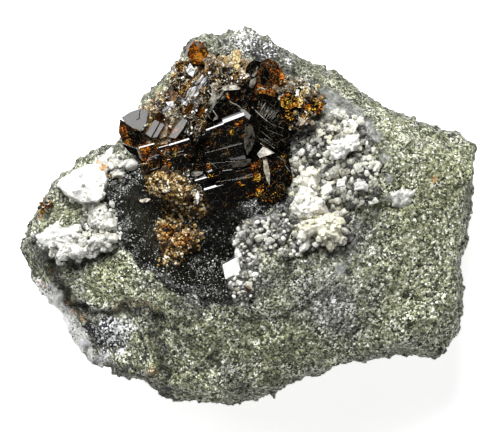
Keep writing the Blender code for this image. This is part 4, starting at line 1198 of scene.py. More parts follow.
mainCrystals = {
    # each from the left end of its upper edge to the right end in plan squares, then height, face, band and
    # depth in mm, roll in degrees, rise in mm
    "prisms": (
        (206, 130, 246, 115, 32.3, 5.4, 0.24, 6.0, 22, 0.0,
         {"tips": (0.5, 0.4), "plates": 0, "amber": 0.35, "ledges": ((0.44, 0.97, -0.46, 0.10, 0.42),)}),
        (205, 153, 242, 143.5, 31.0, 4.2, 0.015, 5.0, 22, 0.0, {"plates": 1, "amber": 0.1}),
        (206, 164, 251, 159.5, 30.3, 3.2, 0.015, 5.0, 22, 0.0, {"plates": 1, "amber": 0.2}),
        (236, 171.5, 256, 165.5, 30.1, 2.6, 0.015, 4.0, 22, 0.0, {"plates": 0, "amber": 0.5}),
        (216, 182, 259, 175.5, 29.7, 4.6, 0.015, 4.0, 20, 0.0, {"plates": 0, "amber": 0.3}),
        (204, 189.5, 224, 183.5, 29.4, 3.0, 0.36, 4.0, 22, 0.0, {"plates": 0, "amber": 0.0}),
        (195, 180.5, 207, 177, 29.5, 2.2, 0.22, 3.0, 22, 0.0, {"plates": 0, "amber": 0.0}),
        (169, 145, 190.5, 138.3, 30.2, 3.8, 0.28, 5.0, 22, 0.0, {"plates": 1, "amber": 0.5, "tone": 0.05}),
        (159, 147.5, 170, 144.5, 29.9, 3.4, 0.12, 5.0, 22, 0.0, {"plates": 0, "amber": 0.7, "tone": 0.10}),
        (167, 160, 187, 154.5, 29.7, 2.8, 0.06, 4.0, 22, 0.0, {"plates": 0, "amber": 0.5, "tone": 0.0}),
        (139, 147.6, 154, 143.6, 29.4, 2.8, 0.24, 4.0, 22, 0.0, {"plates": 0, "amber": 0.9, "tone": 0.30}),
        (147, 160.5, 158, 157, 28.9, 2.0, 0.30, 3.4, 16, 0.0, {"plates": 1, "amber": 0.4, "tone": 0.2}),
        (157, 157, 163, 152, 29.1, 2.0, 0.26, 3.4, 16, 0.0, {"plates": 0, "amber": 0.4, "tone": 0.2}),
        (142, 164, 172, 159, 28.5, 2.2, 0.05, 3.4, 22, 0.0, {"plates": 0, "amber": 0.6, "tone": 0.15}),
        (150, 170, 198, 163.5, 28.0, 2.4, 0.05, 3.4, 22, 0.0, {"plates": 0, "amber": 0.3, "tone": 0.05}),
        (186, 141, 208, 133, 28.9, 6.0, 0.05, 5.0, 24, 0.0, {"plates": 0, "amber": 0.25}),
        (210, 197, 260, 190, 28.6, 2.8, 0.05, 3.0, 24, 0.0, {"plates": 0, "amber": 0.1}),
    ),
    "blocks": (
        # outline in plan squares, height, facing, thickness, spread of the sides, painted values
        # first the dark ground between the prisms
        (((194, 152), (205, 128), (250, 120), (264, 140), (288, 156), (293, 178), (285, 200), (262, 207),
          (218, 206), (200, 198), (192, 182)), 28.3, (0.0, -0.04, 1.0), 3.4, 1.0, {"amber": 0.45}),
        (((139, 150), (160, 144), (190, 136), (206, 128), (208, 172), (192, 180), (168, 177), (148, 171),
          (139, 160)), 27.6, (0.0, -0.04, 1.0), 3.4, 1.0, {"amber": 0.55, "tone": 0.1}),
        (((182, 120), (190, 112), (202, 104), (212, 112), (212, 130), (196, 142), (184, 138)), 27.6,
         (-0.05, -0.1, 1.0), 3.0, 1.0, {"amber": 0.5, "tone": 0.12}),
        # the grey end face on the left, and the brown one round it
        (((121.5, 117.5), (130, 112), (140, 108.5), (148, 112), (146, 122), (141, 130.5), (133, 128),
          (126, 123.5)), 29.6, greyFacing, 1.2, 1.04, {"tone": 0.25, "amber": 0.1}),
        (((120, 119), (126, 124.5), (134, 129.5), (141, 132), (146, 136), (141, 148), (132, 147), (123, 143),
          (118.5, 132)), 28.5, (-0.22, -0.20, 0.95), 4.4, 0.92, {"tone": 0.35, "amber": 0.75}),
        (((128, 130), (140, 131), (141, 142), (133, 146), (128, 138)), 28.8, (-0.08, -0.12, 0.98), 2.0, 1.0,
         {"tone": 0.05, "amber": 0.4}),
        (((121, 143), (130, 148), (139, 150), (139, 158), (130, 153)), 26.8, (-0.2, -0.2, 0.96), 3.0, 1.0,
         {"tone": 0.0, "amber": 0.1}),
        (((140, 133), (150, 122), (164, 117), (188, 122), (192, 137), (162, 146), (140, 149)), 28.3,
         (-0.05, -0.1, 0.99), 4.5, 1.0, {"tone": 0.42, "amber": 0.8, "dust": 0.1}),
        (((145.5, 133.5), (154.5, 120), (159.5, 122), (150.8, 137.5)), 29.5, greyFacing, 1.4, 1.0,
         {"tone": 0.3}),
        (((152, 137.8), (160.4, 122.8), (164.5, 124.5), (157, 137)), 29.6, greyFacing, 1.4, 1.0,
         {"tone": 0.3}),
        (((169, 137), (175, 127), (183, 118), (187, 121), (183, 129), (175.5, 138.5)), 29.6, greyFacing, 1.4,
         1.0, {"tone": 0.4}),
        (((182.5, 131), (187.5, 121.5), (189.5, 123), (185, 133)), 29.3, greyFacing, 1.4, 1.0, {"tone": 0.4}),
        (((157.5, 124), (163, 120), (168, 124), (167, 136), (160, 139)), 28.9, (0.0, -0.1, 1.0), 1.4, 1.0,
         {"tone": 0.6, "amber": 1.0, "dust": 0.5}),
        # the dark crystal behind, its pale rim and its grey slab
        (((212, 104), (226, 93), (238, 88), (251, 89), (259, 98), (253, 113), (243, 112), (228, 117),
          (212, 121), (207, 112)), 31.2, (0.02, -0.08, 0.99), 6.0, 1.05, {"tone": 0.0, "amber": 0.35}),
        (((207.5, 109), (208.5, 101), (214, 94.5), (222, 88), (224.5, 90.5), (217, 98), (212, 105),
          (210, 113)), 31.5, (-0.10, 0.02, 1.0), 1.6, 1.04, {"tone": 0.2, "dust": 0.6}),
        (((222, 88), (228, 84.5), (236, 85), (241, 88), (239, 89.5), (230, 88.5), (224.5, 90.5)), 31.4,
         (-0.05, 0.10, 1.0), 1.6, 1.04, {"tone": 0.5, "dust": 1.3}),
        (((206.5, 110), (210, 106), (213, 112), (217, 119), (213, 121), (208.5, 117)), 31.0,
         (-0.15, 0.0, 0.98), 1.8, 1.0, {"tone": 0.4, "dust": 0.55}),
        # the striated crystal right of it
        (((252, 97), (263, 93), (277, 98), (291, 112), (294, 130), (284, 146), (268, 150), (256, 142),
          (250, 120)), 30.4, (0.05, -0.06, 1.0), 6.0, 1.05, {"tone": 0.0, "amber": 0.25}),
        (((240, 109.5), (244, 109), (251, 115.5), (249, 119.5), (243, 115)), 32.4, greyFacing, 1.2, 1.0,
         {"tone": 0.2}),
        # grey wedge, white facet and sliver
        (((245, 127), (248, 123), (252, 126), (254.5, 133), (254.5, 141), (251.5, 149), (247, 155),
          (245, 149), (243.5, 137)), 31.6, (0.06, -0.05, 0.99), 2.5, 1.1, {"tone": 0.25, "dust": 0.12}),
        (((257, 154), (263, 146.5), (271, 150.8), (274.5, 153), (264, 155.3), (259.7, 158)), 31.3, greyFacing,
         2.0, 1.05, {"tone": 0.6, "dust": 0.8}),
        (((263, 158), (267, 159.3), (270, 173.6), (269.5, 185), (267, 181), (263.8, 171)), 30.9,
         (-0.1, 0.1, 0.98), 2.0, 1.05, {"tone": 0.6, "dust": 0.7}),
        (((255, 160), (262, 158), (272, 156), (282, 160), (288, 172), (286, 196), (272, 203), (258, 201),
          (252, 180)), 30.2, (0.05, -0.08, 0.99), 6.0, 1.05, {"tone": 0.1, "amber": 0.5}),
        (((231, 162), (240, 160), (250, 158.6), (251, 163), (244, 166.4), (233, 167.4)), 30.8,
         (0.0, -0.05, 1.0), 1.0, 1.0, {"tone": 0.25, "dust": 0.10}),
        (((191, 173), (194, 171.5), (203, 171.5), (202, 174), (197, 176.5), (192, 176)), 29.9,
         (0.0, 0.05, 1.0), 1.2, 1.0, {"tone": 0.2, "dust": 0.45}),
        (((206, 170), (209, 162), (214, 165), (222, 172), (216, 178), (208, 178)), 29.9, (-0.05, 0.0, 1.0),
         2.0, 1.0, {"tone": 0.1, "amber": 0.6}),
        # the red crystal and its neighbours
        (((246, 68), (249, 63), (254, 60), (261, 62), (259, 68), (254, 74), (251, 82), (247, 90), (244, 80)),
         30.3, (-0.15, 0.05, 0.98), 4.0, 1.1, {"tone": 0.0, "amber": 0.1}),
        (((253, 94), (254, 80), (257, 69), (262, 61), (268, 58), (276, 62), (282, 70), (284, 82), (280, 92),
          (276, 101), (263, 97)), 30.2, (0.06, -0.06, 0.99), 6.0, 1.08, {"tone": 0.42, "amber": 0.62}),
        (((251.5, 76), (254, 70.5), (257, 69), (257.5, 71), (254.5, 77)), 30.9, (-0.03, 0.12, 0.99), 3.0,
         1.05, {"tone": 0.4, "dust": 0.45}),
        (((249, 86.5), (250.5, 80), (256, 77.5), (255.5, 83), (252, 88.5)), 30.9, (-0.03, 0.1, 0.99), 3.0,
         1.05, {"tone": 0.4, "dust": 0.4}),
        (((260, 75), (263, 69), (267.5, 70), (268.5, 76), (264, 84), (261, 82)), 30.55, (-0.1, -0.1, 0.99),
         1.6, 1.1, {"tone": 0.0, "amber": 0.2}),
        (((255, 91), (258, 84), (262, 86), (270, 87), (276, 92), (274, 99), (262, 95)), 30.6,
         (-0.05, -0.25, 0.97), 2.0, 1.1, {"tone": 0.5, "amber": 1.0}),
        (((279, 66), (284, 76), (284, 84), (280, 85), (279, 75)), 30.3, (0.25, 0.0, 0.97), 2.0, 1.1,
         {"tone": 0.55, "amber": 1.15}),
        (((269, 66), (276, 64), (279, 74), (278, 86), (271, 88), (270, 76)), 30.5, (0.12, 0.05, 0.99), 2.0,
         1.1, {"tone": 0.4, "amber": 0.85}),
    ),
    # plan square, reach, and how red the painted glow in the crystal is there; in the second list, how strong
    # the painted amber glow is
    "redSpots": (
        (268, 76, 20, 0.3), (238, 123, 8, 0.2), (254, 168, 8, 0.2), (241, 185, 8, 0.2), (232, 133, 7, -0.2),
        (177, 157, 9, -0.15), (264, 194, 9, -0.2), (148, 152, 10, 0.1), (160, 139, 12, -0.15),
        (287, 152, 8, -0.2), (128, 128, 8, 0.05), (201, 118, 9, 0.1),
    ),
    "amberSpots": (
        (238, 123, 8, 1.0), (232, 132, 7, 0.95), (242, 136, 5, 1.0), (212, 141, 7, 0.85), (220, 133, 6, 0.7),
        (176, 151, 9, 0.95), (184, 146, 6, 0.8), (165, 153, 7, 0.9), (146, 151, 8, 1.15), (148, 163, 8, 0.95),
        (122, 130, 6, 1.1), (128, 142, 6, 0.95), (254, 166, 6, 1.05), (257, 176, 7, 1.1), (260, 190, 8, 1.15),
        (270, 198, 5, 0.8), (241, 185, 7, 0.8), (250, 195, 7, 0.7), (209, 166, 6, 1.05), (213, 174, 5, 0.8),
        (220, 181, 5, 0.7), (281, 165, 7, 0.8), (169, 165, 5, 1.1), (160, 167, 7, 0.9), (196, 112, 9, 0.95),
        (201, 122, 7, 1.0), (192, 128, 7, 0.8), (266, 63, 4, 0.9), (278, 72, 5, 0.95), (273, 93, 5, 1.0),
        (258, 92, 4, 1.0), (227, 95, 5, 1.0), (236, 99, 5, 0.9), (247, 96, 5, 0.7), (160, 140, 10, 1.1),
        (176, 132, 8, 0.95), (190, 160, 6, 0.7), (226, 152, 9, 0.6), (246, 177, 6, 0.9), (287, 150, 7, 0.9),
        (283, 156, 5, 1.0),
    ),
}


def crystalMaterial(name, dark, mid, lift, clear):
    material, tree, shader, coords = newMaterial(name, roughness=0.07, ior=1.71)
    tone, amber, dust = (attributeNode(tree, label) for label in ("tone", "amber", "dust"))
    cloud = noiseNode(tree, coords, 900, 4, 0.65)
    speck = separated(tree, cellNode(tree, coords, 4200).outputs["Color"])
    pick = varied(tree, tone, cloud, 0.5, 0.7)
    pick = varied(tree, pick, speck.outputs[0], 0.58, 0.46)
    colour = ramp(tree, pick, [
        (0.0, dark), (0.30, mid), (0.55, (0.060, 0.028, 0.010)), (0.8, (0.19, 0.12, 0.050)),
        (1.0, (0.44, 0.36, 0.22)),
    ])
    # painted glow: amber light painted into the colour where the crystal is thin or cracked, as if lit from
    # inside
    glow = noiseNode(tree, stretched(tree, coords, 18, 1.6), 4300, 3, 0.75, 0.4)
    blotch = noiseNode(tree, coords, 700, 3, 0.6)
    lit = varied(tree, glow, amber, 1.0, 0.30)
    lit = varied(tree, lit, speck.outputs[2], 0.55, 0.13)
    lit = varied(tree, lit, blotch, 0.5 - lift, 0.6)
    redGlow = ramp(tree, lit, [
        (0.43, (0.014, 0.005, 0.002)), (0.51, (0.060, 0.017, 0.003)), (0.59, (0.21, 0.055, 0.005)),
        (0.67, (0.56, 0.16, 0.010)), (0.76, (0.95, 0.55, 0.08)),
    ])
    yellowGlow = ramp(tree, lit, [
        (0.44, (0.016, 0.009, 0.002)), (0.52, (0.070, 0.030, 0.004)), (0.585, (0.26, 0.12, 0.010)),
        (0.65, (0.60, 0.36, 0.030)), (0.72, (0.95, 0.80, 0.25)),
    ])
    hue = minus(tree, noiseNode(tree, coords, 420, 2, 0.5), attributeNode(tree, "red"))
    hue = mapRange(tree, hue, 0.42, 0.62)
    glowColour = mixed(tree, hue, redGlow, yellowGlow)
    colour = mixed(tree, mapRange(tree, lit, 0.44, 0.54), colour, glowColour)
    # painted glints: single bright sparks in them
    paintedGlint = times(tree, maths(tree, "GREATER_THAN", speck.outputs[1], 0.74), mapRange(tree, lit, 0.50, 0.56))
    colour = mixed(tree, paintedGlint, colour, mixed(tree, hue, (0.90, 0.24, 0.010), (0.95, 0.62, 0.06)))
    # painted highlights: fine bright cracks and steps, shown where the painted glow is
    bend = addNode(tree, "ShaderNodeTexNoise", {"Vector": coords, "Scale": 1100.0, "Detail": 2.0})
    bent = vectorMaths(tree, "ADD", coords, scaledVector(tree, bend.outputs["Color"], 0.0005))
    split = cellNode(tree, bent, 780, "DISTANCE_TO_EDGE").outputs["Distance"]
    crack = times(tree, mapRange(tree, split, 0.0, 0.035, 1.0, 0.0), mapRange(tree, glow, 0.46, 0.60))
    colour = mixed(tree, times(tree, crack, 0.40), colour, (0.30, 0.27, 0.17))
    # pale cover: partly a powdery coat, partly painted sheen on facets and steps standing in for their
    # catching the light
    dusty = times(tree, dust, mapRange(tree, cloud, 0.35, 0.6))
    dusty = maths(tree, "MULTIPLY", dusty, mapRange(tree, speck.outputs[1], 0.0, 1.0, 0.55, 1.3), clamp=True)
    colour = mixed(tree, dusty, colour, (0.66, 0.64, 0.54))
    tree.links.new(colour, shader.inputs["Base Color"])
    striae = noiseNode(tree, stretched(tree, coords, 18, 20), 4200, 3, 0.7)
    waves = noiseNode(tree, coords, 900, 3, 0.55)
    tree.links.new(mapRange(tree, waves, 0.35, 0.75, 0.03, 0.14), shader.inputs["Roughness"])
    height = plus(tree, striae, times(tree, waves, 0.8))
    tree.links.new(bumped(tree, height, 0.22, 0.00006), shader.inputs["Normal"])
    if clear:
        shader.inputs["Transmission Weight"].default_value = clear
        inner = addNode(tree, "ShaderNodeVolumeAbsorption")
        inner.inputs["Color"].default_value = (0.90, 0.42, 0.08, 1)
        inner.inputs["Density"].default_value = 500
        tree.links.new(inner.outputs[0], tree.nodes["Material Output"].inputs["Volume"])
    return material


darkCrystal = crystalMaterial("darkVesuvianite", (0.0010, 0.0009, 0.0008), (0.0045, 0.0032, 0.0020), 0.0, 0)
amberCrystal = crystalMaterial("amberVesuvianite", (0.012, 0.005, 0.002), (0.050, 0.019, 0.005), 0.12, 0.5)

rng = random.Random(77)
bm = newGrainMesh("tone", "amber", "dust")
for spec in mainCrystals["prisms"]:
    edgePrism(bm, spec, rng)
for outline, height, facing, thick, spread, values in mainCrystals["blocks"]:
    blockUnder(bm, outline, height, facing, thick, spread, **values)
mainPiece = refined(objectOf("mainCrystals", bm), 0.7)

# thin growth steps: ends in plan squares, width in squares, the way they face, and how pale they are painted,
# partly a powdery coat and partly painted sheen; those turned to the key light shine by it
keyFacing = Vector((-0.06, 0.34, 0.94))
flatFacing = Vector((0.0, 0.05, 1.0))
glints = [
    (205, 134.5, 211.5, 132, 0.9, keyFacing, 0), (206, 131.6, 210, 130, 0.6, keyFacing, 0),
    (207, 136.5, 213.5, 133.6, 0.6, keyFacing, 0), (209, 152.5, 240, 143.5, 0.6, flatFacing, 0.08),
    (234, 180.6, 256, 176, 0.5, flatFacing, 0.1), (238, 171, 250, 167.5, 0.7, flatFacing, 0.2),
    (206.5, 177, 207.5, 171.5, 1.0, keyFacing, 0), (207.5, 172, 212, 170, 1.8, keyFacing, 0),
    (164, 155, 166, 149, 1.2, flatFacing, 0.5), (158, 147.5, 162, 151, 1.6, keyFacing, 0),
    (170, 159.5, 184, 155.3, 1.0, flatFacing, 0.0), (148, 158.5, 159, 154.5, 0.7, keyFacing, 0),
    (214, 101.5, 220, 95, 0.9, flatFacing, 0.8), (217, 103, 228, 92.5, 0.9, flatFacing, 0.45),
    (209, 104, 218, 118, 0.9, flatFacing, 0.8), (229, 101, 238, 106, 0.8, flatFacing, 0.5),
    (236, 104, 243, 110, 0.9, flatFacing, 0.5), (252, 107, 258, 113, 0.8, flatFacing, 0.8),
    (258, 113, 265, 119.5, 0.7, flatFacing, 0.7), (265, 119.5, 273, 125, 0.6, flatFacing, 0.55),
    (273, 125, 284, 128.5, 0.5, flatFacing, 0.3), (203, 168, 208, 160, 0.8, flatFacing, 0.4),
    (207, 161, 214, 165, 0.7, flatFacing, 0.35), (214, 165, 221, 173, 0.7, flatFacing, 0.35),
    (285, 165, 290, 172, 0.9, flatFacing, 0.4), (290, 172, 291, 184, 0.9, flatFacing, 0.5),
    (291, 184, 288, 194, 0.9, flatFacing, 0.4), (150, 170, 158, 167.5, 0.6, flatFacing, 0.4),
    (262, 132, 272, 140, 0.6, flatFacing, 0.25), (268, 130, 283, 136, 0.6, flatFacing, 0.2),
    (262, 141, 275, 150, 0.6, flatFacing, 0.25), (276, 143, 285, 156, 0.8, flatFacing, 0.35),
    (280, 140, 291, 154, 0.7, flatFacing, 0.35), (270, 152, 290, 161, 0.7, flatFacing, 0.25),
    (140, 110, 139, 118, 0.7, flatFacing, 0.0), (136, 120, 140, 118, 0.6, flatFacing, 0.0),
    (257, 90, 261, 87.5, 0.9, flatFacing, 1.3), (261, 87.5, 265, 89.5, 1.0, flatFacing, 1.3),
    (265, 89.5, 270, 88, 1.0, flatFacing, 1.3), (254, 72, 258, 66.5, 0.8, flatFacing, 0.9),
    (270, 92, 277, 84, 0.5, flatFacing, 0.3), (264, 62, 272, 66, 0.5, flatFacing, 0.4),
]
rng = random.Random(12)
for k in range(64):
    # the curved striae of the crystal on the right, drawn light with painted sheen
    across = rng.uniform(0, 1)
    u, v = 259 + 27 * across, 100 + 14 * across + rng.uniform(-2, 11) * (1 - 0.3 * across)
    reach = rng.uniform(2, 7)
    bend = 0.30 + 0.75 * across + rng.uniform(-0.12, 0.12)
    glints.append((u, v, u - reach * bend, v + reach * 0.9, rng.uniform(0.25, 0.5), flatFacing,
                   rng.uniform(0.1, 0.75) * (1.0 if across < 0.6 else 0.5)))
for _ in range(26):
    # pale streaks down to the right of the grey wedge, in painted sheen
    u, v = rng.uniform(256, 284), rng.uniform(138, 160)
    reach = rng.uniform(2, 9)
    glints.append((u, v, u + reach, v + reach * rng.uniform(0.55, 0.8), rng.uniform(0.3, 0.7), flatFacing,
                   rng.uniform(0.1, 0.45)))
for u0, v0, u1, v1, low, high in ((208, 120, 252, 170, 0.05, 0.2), (150, 150, 200, 176, 0.05, 0.2),
                                  (212, 92, 250, 116, 0.05, 0.3), (256, 100, 290, 145, 0.05, 0.2),
                                  (255, 160, 288, 198, 0.05, 0.25)):
    for _ in range(16):
        # faint short steps along and across the prisms, in painted sheen
        u, v = rng.uniform(u0, u1), rng.uniform(v0, v1)
        reach = rng.uniform(1.5, 6)
        slope = rng.choice((-0.33, -0.33, 2.6, -1.2))
        glints.append((u, v, u + reach / math.hypot(1, slope), v + reach * slope / math.hypot(1, slope),
                       rng.uniform(0.35, 0.7), flatFacing, rng.uniform(low, high)))


def glintOn(bm, ground, spec):
    # a thin strip laid on the ground between two places, turned to face one way
    u0, v0, u1, v1, wide, facing, dust = spec
    ends = [dropOn(ground, plan(u, v, 30))[0] for u, v in ((u0, v0), (u1, v1))]
    if None in ends or abs(ends[0].z - ends[1].z) > 1.2 * mm:
        return
    side = (ends[1] - ends[0]).cross(Vector((0, 0, 1))).normalized() * wide / squaresPerMm * mm / 2
    rise = -(facing.x * side.x + facing.y * side.y) / facing.z
    tops = [end + side * way + Vector((0, 0, rise * way + 0.07 * mm)) for end in ends for way in (1, -1)]
    verts = [bm.verts.new(p) for p in (*tops, *(p - Vector((0, 0, 0.4 * mm)) for p in tops))]
    bmesh.ops.convex_hull(bm, input=verts)
    paint(bm, verts, tone=0.1, amber=0.0, dust=dust)


zonePaint(mainPiece, "red", mainCrystals["redSpots"], soft=0.6)
strips = treeOf(mainPiece)
bm = newGrainMesh("tone", "amber", "dust")
for spec in glints:
    glintOn(bm, strips, spec)
glintPiece = objectOf("glints", bm)
# painted glow: spots where amber light is painted into the crystals
zonePaint(mainPiece, "amber", mainCrystals["amberSpots"], soft=0.3)


def druseMaterial():
    # small broken crystals: grains from dark brown to cream, each leaning a little its own way
    material, tree, shader, coords = newMaterial("vesuvianiteDruse", roughness=0.12, ior=1.71)
    shader.inputs["Specular IOR Level"].default_value = 0.12
    tone, amber, dust = (attributeNode(tree, label) for label in ("tone", "amber", "dust"))
    cells = cellNode(tree, coords, 2900)
    parts = separated(tree, cells.outputs["Color"])
    pick = varied(tree, tone, parts.outputs[0], 0.80, 0.55)
    fine = noiseNode(tree, coords, 4600, 2, 0.6)
    pick = varied(tree, pick, fine, 0.565, 2.6)
    brown = ramp(tree, pick, [
        (0.0, (0.003, 0.002, 0.001)), (0.25, (0.016, 0.010, 0.004)), (0.5, (0.105, 0.060, 0.020)),
        (0.70, (0.34, 0.29, 0.17)), (0.9, (0.93, 0.93, 0.86)),
    ])
    orange = ramp(tree, pick, [
        (0.0, (0.006, 0.003, 0.001)), (0.25, (0.050, 0.017, 0.002)), (0.5, (0.25, 0.095, 0.006)),
        (0.70, (0.66, 0.38, 0.035)), (0.9, (0.98, 0.88, 0.40)),
    ])
    share = varied(tree, amber, parts.outputs[1], 0.5, 0.9)
    colour = mixed(tree, mapRange(tree, share, 0.35, 0.75), brown, orange)
    colour = mixed(tree, times(tree, dust, parts.outputs[2]), colour, (0.86, 0.80, 0.60))
    # painted glints: a few cells turned near white
    colour = mixed(tree, maths(tree, "GREATER_THAN", parts.outputs[2], 0.965), colour, (0.92, 0.92, 0.94))
    # bright and dark lines along the grain edges; the bright ones are painted highlights
    split = cellNode(tree, coords, 1500, "DISTANCE_TO_EDGE").outputs["Distance"]
    edge = mapRange(tree, split, 0.0, 0.05, 0.75, 0.0)
    light = mapRange(tree, noiseNode(tree, coords, 1300, 2, 0.5), 0.47, 0.53)
    colour = mixed(tree, edge, colour, mixed(tree, light, (0.010, 0.006, 0.003), (0.85, 0.78, 0.55)))
    tree.links.new(colour, shader.inputs["Base Color"])
    tree.links.new(mapRange(tree, parts.outputs[2], 0.0, 1.0, 0.04, 0.25), shader.inputs["Roughness"])
    tree.links.new(tiltedCells(tree, cells.outputs["Color"], 0.14), shader.inputs["Normal"])
    return material


def plateMaterial():
    # larger plates with sharp growth lines painted from black to white; the white lines are painted
    # highlights on the striae
    material, tree, shader, coords = newMaterial("vesuvianitePlates", roughness=0.14, ior=1.71)
    shader.inputs["Specular IOR Level"].default_value = 0.25
    tone, amber, dust = (attributeNode(tree, label) for label in ("tone", "amber", "dust"))
    growth = noiseNode(tree, stretched(tree, coords, 52, 6), 2300, 2, 0.65, 0.3)
    fine = noiseNode(tree, coords, 2400, 3, 0.7)
    pick = varied(tree, varied(tree, growth, tone, 0.5, 0.35), fine, 0.5, 0.35)
    grey = ramp(tree, pick, [
        (0.36, (0.004, 0.003, 0.003)), (0.44, (0.040, 0.036, 0.034)), (0.50, (0.20, 0.19, 0.20)),
        (0.56, (0.44, 0.43, 0.45)), (0.64, (0.93, 0.93, 0.93)),
    ])
    brown = ramp(tree, pick, [
        (0.30, (0.005, 0.002, 0.001)), (0.42, (0.045, 0.016, 0.002)), (0.52, (0.22, 0.085, 0.008)),
        (0.62, (0.52, 0.30, 0.045)), (0.74, (0.92, 0.78, 0.40)),
    ])
    colour = mixed(tree, mapRange(tree, plus(tree, amber, minus(tree, fine, 0.5)), 0.35, 0.65), grey, brown)
    colour = mixed(tree, maths(tree, "MULTIPLY", dust, mapRange(tree, fine, 0.4, 0.6), clamp=True), colour,
                   (0.82, 0.82, 0.80))
    tree.links.new(colour, shader.inputs["Base Color"])
    return material


druseCrystal = druseMaterial()
plateCrystal = plateMaterial()
druse = {
    "left": ((142, 108), (150, 104), (160, 96), (168, 88), (176, 74), (186, 66), (196, 68), (208, 58),
             (222, 56), (240, 62), (248, 70), (246, 82), (232, 86), (214, 92), (206, 104), (206, 124),
             (198, 136), (190, 128), (186, 116), (172, 124), (160, 122), (150, 120)),
    "cream": ((204, 60), (224, 58), (246, 66), (250, 80), (236, 86), (214, 90), (206, 78)),
    "amber": ((274, 92), (282, 84), (300, 82), (316, 90), (322, 104), (316, 114), (306, 122), (300, 130),
              (290, 128), (288, 112), (276, 100)),
    "sparkle": ((186, 174), (192, 171), (199, 180), (203, 192), (200, 205), (195, 203), (194, 194),
                (189, 186)),
    "sugar": ((280, 82), (292, 80), (318, 90), (326, 104), (316, 108), (300, 96), (284, 90)),
    # outlines in plan squares of the larger plates among them, with facing, tone, amber, and how pale they
    # are painted; the pale ones are painted highlights
    "plates": (
        (((186, 70), (190, 63), (195, 70), (193, 77), (188, 74)), (0.0, 0.1, 1.0), 0.85, 0.0, 0.6),
        (((189, 83), (196, 72), (198, 74), (192, 85)), (0.1, -0.1, 0.99), 0.4, 1.0, 0.0),
        (((196, 66), (205, 63), (206, 68), (199, 70)), (0.0, -0.2, 0.98), 0.0, 0.2, 0.0),
        (((195, 84), (202, 74), (208, 72), (209, 77), (202, 86)), (-0.1, 0.05, 0.99), 0.66, 0.1, 0.1),
        (((183, 98), (190, 88), (202, 84), (203, 90), (190, 102)), (-0.1, 0.0, 0.99), 0.55, 0.15, 0.0),
        (((203, 84), (208, 78), (211, 82), (206, 89)), (-0.1, 0.0, 0.99), 0.30, 0.15, 0.0),
        (((180, 100), (185, 96), (189, 99), (187, 106), (182, 104)), greyFacing, 0.35, 0.0, 0.0),
        (((168, 99), (172, 90), (178, 93), (174, 102), (170, 102)), (-0.2, 0.0, 0.97), 0.4, 0.9, 0.1),
        (((166, 102), (173, 101), (174, 107), (168, 106)), (0.0, 0.1, 1.0), 0.85, 0.0, 0.6),
        (((160, 112), (168, 105), (172, 110), (165, 117)), (-0.1, 0.0, 0.99), 0.6, 0.0, 0.1),
        (((186, 106), (192, 103), (196, 110), (191, 122), (186, 118)), (-0.1, -0.1, 0.99), 0.15, 1.0, 0.0),
        (((197, 106), (201, 102), (206, 112), (203, 124), (199, 118)), (-0.05, -0.1, 0.99), 0.45, 1.05, 0.0),
        (((199, 108), (202, 106), (203, 113), (200, 115)), greyFacing, 0.45, 0.1, 0.1),
        (((156, 118), (162, 112), (166, 118), (162, 123), (157, 123)), (0.1, -0.1, 0.98), 0.15, 1.0, 0.0),
        (((195.5, 196), (197.5, 190), (199.5, 195), (199, 203), (197, 204)), (0.0, 0.1, 1.0), 0.9, 0.0, 0.8),
        (((139, 200.5), (146, 198), (151, 199), (147, 202), (141, 202.5)), (0.0, 0.1, 1.0), 0.85, 0.5, 0.4),
        (((298, 119), (301, 117.5), (306, 121), (304, 124), (300, 126)), (0.0, 0.1, 1.0), 0.8, 0.1, 0.7),
        (((309, 122), (312, 119.5), (316, 123), (312, 126)), (0.0, 0.1, 1.0), 0.6, 0.1, 0.5),
        (((280, 97), (288, 93), (298, 99), (297, 106), (288, 110), (281, 106)), (-0.05, -0.1, 0.99), 0.2,
         1.08, 0.0),
        (((300, 104), (312, 97), (324, 104), (320, 116), (306, 113)), (0.0, -0.1, 0.99), 0.12, 1.0, 0.0),
        (((278, 112), (287, 109), (296, 116), (290, 126), (283, 123)), (0.05, -0.1, 0.99), 0.05, 0.85, 0.0),
    ),
    # thin bright growth steps on them, lit by the key light or painted with sheen: ends in plan squares, how
    # many, how far they reach
    "steps": ((196, 84, 205, 75, 6, 5), (184, 98, 202, 86, 10, 6), (150, 134, 158, 122, 3, 3),
              (166, 107, 172, 103, 3, 3)),
}
druseGround = treeOf(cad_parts["vesuvianite_crystals"], rock)
